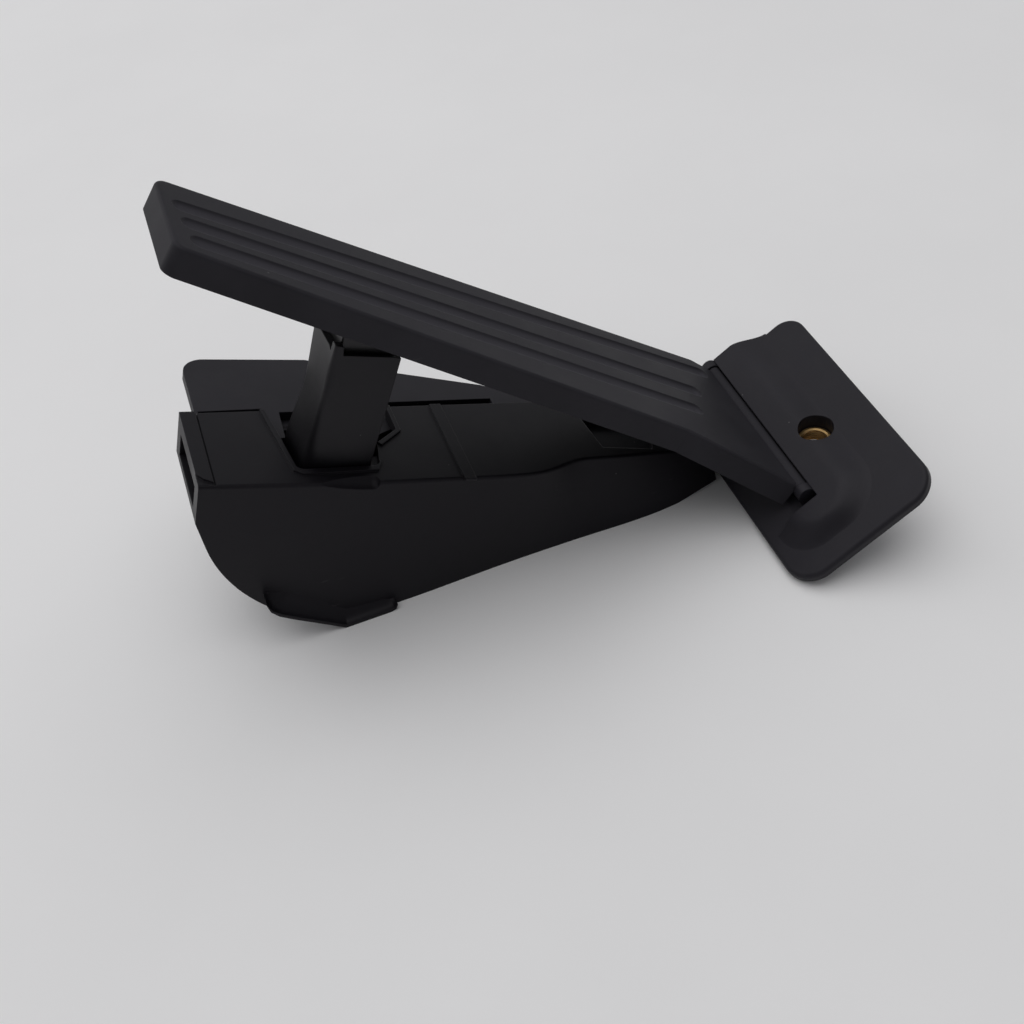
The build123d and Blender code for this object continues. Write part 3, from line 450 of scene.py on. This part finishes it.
def use_group(tree, group, **inputs):
    """Puts a shader group into a tree, feeds its inputs and returns its outputs."""
    made = tree.nodes.new("ShaderNodeGroup")
    made.node_tree = group
    for key, value in inputs.items():
        if isinstance(value, bpy.types.NodeSocket):
            tree.links.new(value, made.inputs[key])
        else:
            made.inputs[key].default_value = value
    return made.outputs


def blank_material(name):
    """Material with only its output, its shader and the Object coordinates."""
    material = bpy.data.materials.new(name)
    material.use_nodes = True
    tree = material.node_tree
    tree.nodes.clear()
    shader = tree.nodes.new("ShaderNodeBsdfPrincipled")
    tree.links.new(shader.outputs[0], tree.nodes.new("ShaderNodeOutputMaterial").inputs[0])
    return material, tree, shader, tree.nodes.new("ShaderNodeTexCoord").outputs["Object"]


def rgba(colour, gain=1.0):
    """Colour with four parts, made lighter or darker by a gain."""
    return (*(min(1.0, gain * c) for c in colour), 1.0)


def moulded_plastic(name, colour, rough, specular, grain=1.0, relief=0.2, wear=0.5, dust=0.05, specks=0.14):
    """Satin moulded plastic: mottled colour, spark eroded grain, soft rubbed edges, a film of dust and lint."""
    sizes, colours = bpy.context.scene.pedal_sizes, bpy.context.scene.pedal_colours
    material, tree, shader, at = blank_material(name)
    texture = use_group(tree, moulded_grain(), Vector=at, Size=sizes.grain * grain)
    edges = use_group(tree, worn_edges(), Vector=at, Radius=sizes.soft_edge, Amount=wear)
    dirt = use_group(tree, settled_dust(), Vector=at, Amount=dust)
    shade = blend_colour(tree, texture["Mottle"], rgba(colour, 1 - MOTTLE), rgba(colour, 1 + MOTTLE))
    shade = blend_colour(tree, edges["Mask"], shade, rgba(colour, RUBBED))
    shade = blend_colour(tree, dirt["Film"], shade, rgba(colours.dust))
    shade = blend_colour(tree, maths(tree, "MULTIPLY", dirt["Specks"], specks), shade, rgba(colours.dust))
    tree.links.new(shade, shader.inputs["Base Color"])
    polish = maths(tree, "MULTIPLY", edges["Mask"], -0.12)
    spread = maths(tree, "MULTIPLY", maths(tree, "SUBTRACT", texture["Mottle"], 0.5), 0.10)
    gloss = maths(tree, "ADD", maths(tree, "ADD", polish, spread), rough)
    gloss = maths(tree, "ADD", gloss, maths(tree, "MULTIPLY", dirt["Film"], 0.8), clamp=True)
    tree.links.new(gloss, shader.inputs["Roughness"])
    bump = add_node(
        tree, "Bump", None, Strength=relief, Distance=0.00006, Height=texture["Height"], Normal=edges["Normal"]
    )
    tree.links.new(bump.outputs[0], shader.inputs["Normal"])
    shader.inputs["Specular IOR Level"].default_value = specular
    shader.inputs["Specular Tint"].default_value = SHEEN_TINT
    return material


def tread_plastic(name, colour, *args, **options):
    """Moulded plastic of the treadle, with painted light on the floors of its grooves: their colour is lightened there
    to lift the shade.
    """
    material = moulded_plastic(name, colour, *args, **options)
    tree = material.node_tree
    shader = next(node for node in tree.nodes if node.type == "BSDF_PRINCIPLED")
    at = next(node for node in tree.nodes if node.type == "TEX_COORD").outputs["Object"]
    up = plane_axes(TREAD_SLOPE)[2]
    level = float(up @ np.array(TREAD_POINT)) + TREAD_TOP
    # painted light: mask of the groove floors, where the treadle's colour is lightened to lift the shade in the grooves
    film = use_group(tree, groove_floor_lift(), Vector=at, Facing=up, Level=level, Depth=GROOVE_DEEP)
    shade = shader.inputs["Base Color"].links[0].from_socket
    tree.links.new(blend_colour(tree, film["Mask"], shade, rgba(colour, GROOVE_LIFT)), shader.inputs["Base Color"])
    return material


def drawn_metal(name, colour, rough, lines=(900.0, 60.0, 900.0), stain=0.25):
    """Plated or ground metal: fine lines along one direction, dull patches and a little tarnish."""
    material, tree, shader, at = blank_material(name)
    mapped = add_node(tree, "Mapping", None, Vector=at, Scale=lines)
    fine = add_node(tree, "TexNoise", None, Vector=mapped.outputs[0], Scale=4.0, Detail=3.0, Roughness=0.6)
    broad = add_node(tree, "TexNoise", None, Vector=at, Scale=210.0, Detail=4.0, Roughness=0.6)
    patch = ramp(tree, broad.outputs[0], 0.38, 0.72)
    tone = blend_colour(tree, maths(tree, "MULTIPLY", patch, stain), rgba(colour), rgba(colour, 0.45))
    tree.links.new(tone, shader.inputs["Base Color"])
    gloss = maths(tree, "ADD", maths(tree, "MULTIPLY", fine.outputs[0], 0.22), maths(tree, "MULTIPLY", patch, 0.12))
    tree.links.new(maths(tree, "ADD", gloss, rough - 0.15, clamp=True), shader.inputs["Roughness"])
    bump = add_node(tree, "Bump", None, Strength=0.25, Distance=0.00003, Height=fine.outputs[0])
    tree.links.new(bump.outputs[0], shader.inputs["Normal"])
    shader.inputs["Metallic"].default_value = 1.0
    return material


def soft_rubber(name, tone):
    """Matt rubber: fine pores, chalky bloom in patches."""
    material, tree, shader, at = blank_material(name)
    texture = use_group(tree, moulded_grain(), Vector=at, Size=0.00025)
    bloom = maths(tree, "MULTIPLY", texture["Mottle"], 0.10)
    tree.links.new(blend_colour(tree, bloom, (tone, tone, tone, 1), (0.22, 0.22, 0.21, 1)), shader.inputs["Base Color"])
    gloss = maths(tree, "ADD", maths(tree, "MULTIPLY", texture["Mottle"], 0.12), 0.68)
    tree.links.new(gloss, shader.inputs["Roughness"])
    bump = add_node(tree, "Bump", None, Strength=0.3, Distance=0.00005, Height=texture["Height"])
    tree.links.new(bump.outputs[0], shader.inputs["Normal"])
    return material


def finish(name):
    """The material of a slot, made at its first use."""
    if name in bpy.data.materials and bpy.data.materials[name].get("dressed"):
        return bpy.data.materials[name]
    if name in bpy.data.materials:
        bpy.data.materials[name].name = name + "_packed"
    c = bpy.context.scene.pedal_colours
    # plastics: colour, roughness, level of the reflections; metals: colour, roughness
    makers = {
        "housing_plastic": lambda: moulded_plastic(name, c.shell, 0.45, 0.20, relief=0.22, dust=0.006, wear=0.35),
        "frame_plastic": lambda: moulded_plastic(name, c.flange, 0.48, 0.22, relief=0.22, dust=0.008, wear=0.4),
        "treadle_plastic": lambda: tread_plastic(
            name, c.tread, 0.54, 0.12, grain=1.15, relief=0.26, dust=0.008, wear=0.5
        ),
        "arm_plastic": lambda: moulded_plastic(name, c.arm, 0.42, 0.28, relief=0.2, dust=0.006, wear=0.4),
        "shoe_plastic": lambda: moulded_plastic(
            name, (0.008, 0.008, 0.008), 0.34, 0.35, relief=0.1, dust=0.0, wear=0.2
        ),
        "washer_plastic": lambda: moulded_plastic(
            name, (0.030, 0.028, 0.026), 0.42, 0.4, relief=0.1, dust=0.0, wear=0.05
        ),
        "brass": lambda: drawn_metal(name, c.brass, 0.34, lines=(300.0, 300.0, 2500.0), stain=0.35),
        "terminal_metal": lambda: drawn_metal(name, (0.70, 0.66, 0.58), 0.32),
        "zinc_steel": lambda: drawn_metal(name, c.zinc, 0.40, lines=(500.0, 500.0, 500.0), stain=0.3),
        "steel": lambda: drawn_metal(name, (0.50, 0.50, 0.50), 0.33, lines=(1500.0, 90.0, 1500.0), stain=0.2),
        "spring_steel": lambda: drawn_metal(name, (0.26, 0.26, 0.27), 0.38, lines=(400.0, 400.0, 400.0), stain=0.4),
        "ferrite": lambda: moulded_plastic(name, (0.055, 0.055, 0.058), 0.55, 0.4, relief=0.3, dust=0.0, wear=0.1),
        "board": lambda: moulded_plastic(name, c.board, 0.32, 0.5, relief=0.05, dust=0.0, wear=0.1),
        "chip": lambda: moulded_plastic(name, (0.012, 0.012, 0.012), 0.5, 0.4, relief=0.15, dust=0.0, wear=0.1),
        "rubber": lambda: soft_rubber(name, 0.014),
    }
    material = makers[name]()
    material["dressed"] = True
    return material


# Operators


class PEDAL_OT_stage(bpy.types.Operator):
    """Sets the pale table, the soft lamps, the room light and the camera of the photograph"""

    bl_idname = "pedal.stage"
    bl_label = "Stage"

    def execute(self, context):
        scene, stage = context.scene, context.scene.pedal_stage
        scene.view_settings.view_transform = "Standard"
        # table: a wide level grid, P(x, y) = (x, y, 0)
        across = np.linspace(-3.0, 3.0, 13)
        x, y = np.meshgrid(across, across, indexing="ij")
        mesh = grid_mesh("table", np.stack((x, y, np.zeros_like(x)), axis=-1))
        if mesh.polygons[0].normal.z < 0:
            mesh.flip_normals()
        material, tree, shader, at = blank_material("pale_table")
        cloud = add_node(tree, "TexNoise", None, Vector=at, Scale=5.0, Detail=4.0, Roughness=0.6)
        pale, paler = rgba(stage.floor, 0.985), rgba(stage.floor, 1.015)
        tone = blend_colour(tree, ramp(tree, cloud.outputs[0], 0.3, 0.7), pale, paler)
        tree.links.new(tone, shader.inputs["Base Color"])
        shader.inputs["Roughness"].default_value = 0.62
        shader.inputs["Specular IOR Level"].default_value = 0.25
        mesh.materials.append(material)
        table = bpy.data.objects.new("table", mesh)
        scene.collection.objects.link(table)
        # room light: brighter behind the pedal than on the camera's side
        world = bpy.data.worlds.new("room")
        world.use_nodes = True
        tree = world.node_tree
        toward = add_node(tree, "SeparateXYZ", None, Vector=tree.nodes.new("ShaderNodeTexCoord").outputs["Generated"])
        level = ramp(tree, toward.outputs["Y"], -0.6, 0.8, 0.6 * stage.world, 1.05 * stage.world)
        tree.links.new(level, tree.nodes["Background"].inputs["Strength"])
        tree.nodes["Background"].inputs["Color"].default_value = (0.97, 0.98, 1.0, 1.0)
        scene.world = world
        # lamps: name, place, target, width, share of the power
        for name, spot, aim, width, share in (
            ("overhead", (0.0, 0.20, 1.65), (0.0, 0.0, 0.05), 2.2, 1.0),
            ("back_left", (-1.00, 1.00, 0.80), (0.0, 0.0, 0.05), 1.4, 0.27),
        ):
            lamp = bpy.data.lights.new(name, "AREA")
            lamp.shape = "DISK"
            lamp.size = width
            lamp.energy = stage.lamp * share
            made = bpy.data.objects.new(name, lamp)
            made.location = spot
            made.rotation_euler = (Vector(aim) - Vector(spot)).to_track_quat("-Z", "Y").to_euler()
            scene.collection.objects.link(made)
        # camera
        ahead = CAMERA_AHEAD.normalized()
        right = (CAMERA_RIGHT - CAMERA_RIGHT.dot(ahead) * ahead).normalized()
        above = right.cross(ahead)
        camera = bpy.data.cameras.new("photo_camera")
        camera.lens, camera.sensor_width = stage.lens, 36.0
        camera.clip_start, camera.clip_end = 0.01, 20.0
        made = bpy.data.objects.new("photo_camera", camera)
        turn = Matrix((right, above, -ahead)).transposed().to_4x4()
        made.matrix_world = Matrix.Translation(CAMERA_SPOT) @ turn
        scene.collection.objects.link(made)
        scene.camera = made
        return {"FINISHED"}


class PEDAL_OT_shell(bpy.types.Operator):
    """Finishes the wedge housing, its back cover and the connector collar"""

    bl_idname = "pedal.shell"
    bl_label = "Housing shell"

    def execute(self, context):
        for node in ("housing", "back_cover", "connector_shroud"):
            dress(node, finish("housing_plastic"))
        return {"FINISHED"}


class PEDAL_OT_base(bpy.types.Operator):
    """Finishes the flange plate and the foot plate"""

    bl_idname = "pedal.base"
    bl_label = "Base frame"

    def execute(self, context):
        for node in ("base_frame", "foot_plate"):
            dress(node, finish("frame_plastic"))
        return {"FINISHED"}


class PEDAL_OT_shade_sheet(bpy.types.Operator):
    """Closes the narrow gap between the flange plate's cutout and the back cover with a dark sheet that stands in for
    the shade there (painted shade)
    """

    bl_idname = "pedal.lip"
    bl_label = "Cutout shade sheet"

    def execute(self, context):
        along, across, up = plane_axes(LID_SLOPE)
        # a slab under the plate, P(u, v) = (s(u), b w(u) y(v), c w(u) n(v)): the rounded square (y, n), stretched to
        # the half sizes b and c, runs along s, and its share w closes both ends to a point
        start, end = SHADE_SHEET_ENDS
        run = np.array((start, start, start + SHADE_SHEET_ROUND, end - SHADE_SHEET_ROUND, end, end)) * MM
        share = np.array((0.0, 0.9, 1.0, 1.0, 0.9, 0.0))
        half_wide, half_thick = SHADE_SHEET_HALF[0] * MM, SHADE_SHEET_HALF[1] * MM
        around = 40
        y, n = round_square(np.linspace(0, 2 * pi, around, endpoint=False))
        local = np.stack(
            (np.repeat(run[:, None], around, axis=1), np.outer(share, half_wide * y), np.outer(share, half_thick * n)),
            axis=-1,
        )
        mesh = grid_mesh("cutout_shade_sheet", place(local, on_lid(0.0, *SHADE_SHEET_MIDDLE), along, across, up), wrap_v=True)
        smooth_by_angle(mesh, 30)
        add_piece("cutout_shade_sheet", mesh, "base", finish("frame_plastic"))
        return {"FINISHED"}


class PEDAL_OT_treadle(bpy.types.Operator):
    """Finishes the grooved treadle and the track plate under it"""

    bl_idname = "pedal.treadle"
    bl_label = "Treadle"

    def execute(self, context):
        dress("treadle", finish("treadle_plastic"))
        dress("track_plate", finish("steel"))
        return {"FINISHED"}


class PEDAL_OT_arm(bpy.types.Operator):
    """Finishes the link arm, its slide shoe, washers and spring seat"""

    bl_idname = "pedal.arm"
    bl_label = "Link arm"

    def execute(self, context):
        dress("link_arm", finish("arm_plastic"))
        dress("slide_shoe", finish("shoe_plastic"))
        dress("spring_seat", finish("shoe_plastic"))
        dress("friction_washers", finish("washer_plastic"))
        dress("pivot_bushes", finish("brass"))
        dress("pivot_pin", finish("steel"))
        return {"FINISHED"}


class PEDAL_OT_bolt_bush(bpy.types.Operator):
    """Turns the brass bush in the bolt hole, with fine thread lines in its bore"""

    bl_idname = "pedal.bolt_bush"
    bl_label = "Bolt bush"

    def execute(self, context):
        sizes = context.scene.pedal_sizes
        low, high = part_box("bolt_bush")
        middle = (low + high) / 2
        bore, half, rim = MOUNTS["foot_bolt"]["dims"]["r_mm"] * MM, (high.z - low.z) / 2, (high.x - low.x) / 2
        around, down, lead, chamfer = 96, 96, 0.4 * MM, 0.5 * MM
        angle = np.linspace(0, 2 * pi, around, endpoint=False)
        # P(u, v) = (r(u, v) cos v, r(u, v) sin v, z(u)) on a closed profile: down the bore, where r swings by a
        # triangle wave of z / pitch - v / 2 pi that fades in below the top, then the foot, the wall and the top
        height = np.linspace(half - lead, -half, down)
        turn = height[:, None] / sizes.thread_pitch - angle[None, :] / (2 * pi)
        tooth = np.abs(2 * (turn - np.floor(turn)) - 1)
        fade = np.clip((half - lead - height) / sizes.thread_pitch, 0, 1)[:, None]
        radius = bore + sizes.thread_depth * tooth * fade
        rest = np.array(
            ((rim - chamfer, -half), (rim, -half + chamfer), (rim, half - chamfer), (rim - chamfer, half),
             (bore + chamfer, half))
        )
        radius = np.vstack((radius, np.repeat(rest[:, :1], around, axis=1)))
        height = np.concatenate((height, rest[:, 1]))
        local = np.stack(
            (radius * np.cos(angle), radius * np.sin(angle), np.repeat(height[:, None], around, axis=1)), axis=-1
        )
        mesh = grid_mesh("bush", local + np.array(middle), wrap_u=True, wrap_v=True)
        smooth_by_angle(mesh, 35)
        add_piece("bush", mesh, "base", finish("brass"), ("bolt_bush",))
        return {"FINISHED"}


class PEDAL_OT_springs(bpy.types.Operator):
    """Winds the two return springs with closed, flattened end turns"""

    bl_idname = "pedal.springs"
    bl_label = "Return springs"

    def execute(self, context):
        sizes = context.scene.pedal_sizes
        along, across, up = plane_axes(LID_SLOPE)
        length = SPRING_LONG * MM
        foot = on_lid(*SPRING_FOOT)
        closed, window = 0.9, 15
        # piece, node, radius of the coil, wire, turns
        for name, node, radius, wire, turns in (
            ("spring_outer", "return_spring_outer", 6.9 * MM, sizes.outer_wire, 6.0),
            ("spring_inner", "return_spring_inner", 4.3 * MM, sizes.inner_wire, 8.5),
        ):
            # P(t, v) = C(t) + w(t) (cos v N(t) + sin v Z): a round section w carried along the coil's centre line
            # C(t) = (R cos 2 pi t, R sin 2 pi t, rise(t)), which rises slowly in the closed turn at each end and
            # evenly between, with the change of pitch smoothed over a window of samples
            t = np.linspace(0, turns, int(turns * 30) + 1)
            tight = wire * 1.05
            open_turns = turns - 2 * closed
            open_rise = (length - wire - 2 * closed * tight) / open_turns
            pitch = tight + (t > closed) * (t < turns - closed) * open_rise
            pitch = np.convolve(np.pad(pitch, window // 2, mode="edge"), np.ones(window) / window, mode="valid")
            rise = np.concatenate(((0.0,), np.cumsum((pitch[1:] + pitch[:-1]) / 2 * np.diff(t))))
            rise = wire / 2 + rise * (length - wire) / rise[-1]
            turn = 2 * pi * t
            centre = np.stack((radius * np.cos(turn), radius * np.sin(turn), rise), axis=-1)
            outward = np.stack((np.cos(turn), np.sin(turn), np.zeros_like(turn)), axis=-1)
            upward = np.array((0.0, 0.0, 1.0))
            around = np.linspace(0, 2 * pi, 14, endpoint=False)
            ends = np.minimum(1.0, np.minimum(np.arange(len(t)), np.arange(len(t))[::-1]) / 2.0)
            section = wire / 2 * ends[:, None]
            local = (
                centre[:, None, :] + (section * np.cos(around))[..., None] * outward[:, None, :]
                + (section * np.sin(around))[..., None] * upward
            )
            mesh = grid_mesh(name, place(local, foot, along, across, up), wrap_v=True)
            piece = add_piece(name, mesh, "base", finish("spring_steel"), (node,))
            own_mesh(piece)
        return {"FINISHED"}


def screw_points(radius, head_high, dome, shank, length, cross):
    """Pan head screw, P(u, v) = (r(u) cos v, r(u) sin v, z(u, v)): the crown is a low dome, z = head + dome
    (1 - (r / R)^2), with a cross recess sunk into it, then come the rim, the underside, the shank and its point.
    Local z is up out of the head."""
    around = 72
    angle = np.linspace(0, 2 * pi, around, endpoint=False)[None, :]
    inner = np.linspace(0, 0.93, 26)[:, None] * radius
    x, y = inner * np.cos(angle), inner * np.sin(angle)
    half, reach, flank = 0.42 * MM, 0.62 * radius, 0.18 * MM

    def within(distance, limit):
        """1 inside a limit and 0 outside, with a short flank between."""
        return np.clip((limit - np.abs(distance)) / flank + 0.5, 0, 1)

    recess = np.maximum(within(x, half) * within(y, reach), within(y, half) * within(x, reach))
    crown = head_high + dome * (1 - (inner / radius) ** 2) - cross * recess
    rest = np.array(
        ((radius, head_high - 0.25 * dome), (radius, 0.0), (shank, 0.0), (shank, -length + shank), (0.0, -length))
    )
    r = np.vstack((np.repeat(inner, around, axis=1), np.repeat(rest[:, :1], around, axis=1)))
    z = np.vstack((crown, np.repeat(rest[:, 1:], around, axis=1)))
    return np.stack((r * np.cos(angle), r * np.sin(angle), z), axis=-1)


class PEDAL_OT_screws(bpy.types.Operator):
    """Makes the domed cross recess screws of the back cover and of the flange plate"""

    bl_idname = "pedal.screws"
    bl_label = "Screws"

    def execute(self, context):
        dome = context.scene.pedal_sizes.head_dome
        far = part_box("cover_screws")[1].y - COVER_HEAD * MM
        local = screw_points(
            radius=2.8 * MM, head_high=COVER_HEAD * MM - dome, dome=dome,
            shank=1.5 * MM, length=9.0 * MM, cross=1.1 * MM,
        )
        made = []
        for x, z in COVER_SCREWS:
            points = place(local, (x * MM, far, z * MM), (1, 0, 0), (0, 0, -1), (0, 1, 0))
            made.append(grid_mesh("cover_screw", points, wrap_v=True))
        mesh = joined("back_cover_screws", made)
        smooth_by_angle(mesh, 35)
        add_piece("back_cover_screws", mesh, "base", finish("zinc_steel"), ("cover_screws",))
        along, across, up = plane_axes(LID_SLOPE)
        local = screw_points(
            radius=2.5 * MM, head_high=PLATE_HEAD * MM - dome, dome=dome,
            shank=1.2 * MM, length=5.0 * MM, cross=1.0 * MM,
        )
        made = []
        for s, y in PLATE_SCREWS:
            points = place(local, on_lid(s, y, PLATE_UNDER), along, -across, -up)
            made.append(grid_mesh("flange_screw", points, wrap_v=True))
        mesh = joined("flange_screws", made)
        smooth_by_angle(mesh, 35)
        add_piece("flange_screws", mesh, "base", finish("zinc_steel"), ("frame_screws",))
        return {"FINISHED"}


class PEDAL_OT_terminals(bpy.types.Operator):
    """Makes the six terminal blades with tapered tips"""

    bl_idname = "pedal.terminals"
    bl_label = "Terminals"

    def execute(self, context):
        size = context.scene.pedal_sizes.pin_size
        along, across, up = plane_axes(LID_SLOPE)
        # P(u, v) = (s(u), w(u) y(v), w(u) n(v)): a rounded square (y, n) carried along the blade, which grows out of
        # a point at the tip and closes to a point at its root
        run = np.array((0.0, 0.0, 0.9, 1.6, 8.0, 14.9, 15.0, 15.0)) * MM
        width = np.array((0.0, 0.45, 0.82, 1.0, 1.0, 1.0, 0.94, 0.0)) * size / 2
        around = 24
        y, n = round_square(np.linspace(0, 2 * pi, around, endpoint=False))
        local = np.stack((np.repeat(run[:, None], around, axis=1), np.outer(width, y), np.outer(width, n)), axis=-1)
        made = []
        first, middle, level = PIN_MIDDLE
        for i in range(PIN_COUNT):
            spot = on_lid(first, middle + (i - (PIN_COUNT - 1) / 2) * PIN_PITCH, level)
            made.append(grid_mesh("terminal", place(local, spot, along, across, up), wrap_v=True))
        mesh = joined("terminals", made)
        smooth_by_angle(mesh, 30)
        add_piece("terminals", mesh, "base", finish("terminal_metal"), ("connector_terminals",))
        return {"FINISHED"}


class PEDAL_OT_hinge(bpy.types.Operator):
    """Turns the hinge pin with rounded ends and finishes its push on ring"""

    bl_idname = "pedal.hinge"
    bl_label = "Hinge"

    def execute(self, context):
        low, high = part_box("hinge_pin")
        r = (high.x - low.x) / 2
        long = high.y - low.y
        # half of the profile with its rounded end, then its mirror image
        profile = [(0.0, 0.0), (r - 0.35 * MM, 0.0), (r - 0.1 * MM, 0.1 * MM), (r, 0.35 * MM), (r, long / 2)]
        profile += [(radius, long - z) for radius, z in reversed(profile[:-1])]
        spot = ((low.x + high.x) / 2, low.y, (low.z + high.z) / 2)
        mesh = grid_mesh("hinge_rod", turned(profile, 32, spot, (0, 0, 1), (1, 0, 0), (0, 1, 0)), wrap_v=True)
        smooth_by_angle(mesh, 30)
        add_piece("hinge_rod", mesh, "base", finish("steel"), ("hinge_pin",))
        dress("hinge_ring", finish("zinc_steel"))
        return {"FINISHED"}


class PEDAL_OT_sensor(bpy.types.Operator):
    """Finishes the sensor board, its chips and the magnet on the arm"""

    bl_idname = "pedal.sensor"
    bl_label = "Sensor"

    def execute(self, context):
        dress("sensor_board", finish("board"))
        dress("sensor_chips", finish("chip"))
        dress("sensor_magnet", finish("ferrite"))
        return {"FINISHED"}


class PEDAL_OT_rubber(bpy.types.Operator):
    """Finishes the gasket and the two rubber pads"""

    bl_idname = "pedal.rubber"
    bl_label = "Rubber"

    def execute(self, context):
        for node in ("cover_gasket", "rest_pad", "stop_pad"):
            dress(node, finish("rubber"))
        return {"FINISHED"}


OPERATORS = (
    PEDAL_OT_stage, PEDAL_OT_shell, PEDAL_OT_base, PEDAL_OT_shade_sheet, PEDAL_OT_treadle, PEDAL_OT_arm,
    PEDAL_OT_bolt_bush, PEDAL_OT_springs, PEDAL_OT_screws, PEDAL_OT_terminals, PEDAL_OT_hinge,
    PEDAL_OT_sensor, PEDAL_OT_rubber,
)


class PEDAL_PT_panel(bpy.types.Panel):
    """Lists the pieces of the pedal with their sizes and colours"""

    bl_idname = "PEDAL_PT_panel"
    bl_label = "Accelerator pedal"
    bl_space_type = "VIEW_3D"
    bl_region_type = "UI"
    bl_category = "Pedal"

    def draw(self, context):
        for group in (context.scene.pedal_sizes, context.scene.pedal_colours, context.scene.pedal_stage):
            box = self.layout.box()
            for name in type(group).__annotations__:
                box.prop(group, name)
        for operator in OPERATORS:
            self.layout.operator(operator.bl_idname)


GROUPS = {"pedal_sizes": PedalSizes, "pedal_colours": PedalColours, "pedal_stage": PedalStage}


def register():
    """Registers the classes and hangs the property groups on the scene."""
    for cls in (*GROUPS.values(), *OPERATORS, PEDAL_PT_panel):
        bpy.utils.register_class(cls)
    for name, group in GROUPS.items():
        setattr(bpy.types.Scene, name, bpy.props.PointerProperty(type=group))


def unregister():
    """Takes back what register did."""
    for name in GROUPS:
        delattr(bpy.types.Scene, name)
    for cls in reversed((*GROUPS.values(), *OPERATORS, PEDAL_PT_panel)):
        bpy.utils.unregister_class(cls)


def main():
    """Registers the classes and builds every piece."""
    register()
    for operator in OPERATORS:
        family, name = operator.bl_idname.split(".")
        getattr(getattr(bpy.ops, family), name)()


if __name__ == "__main__":
    main()
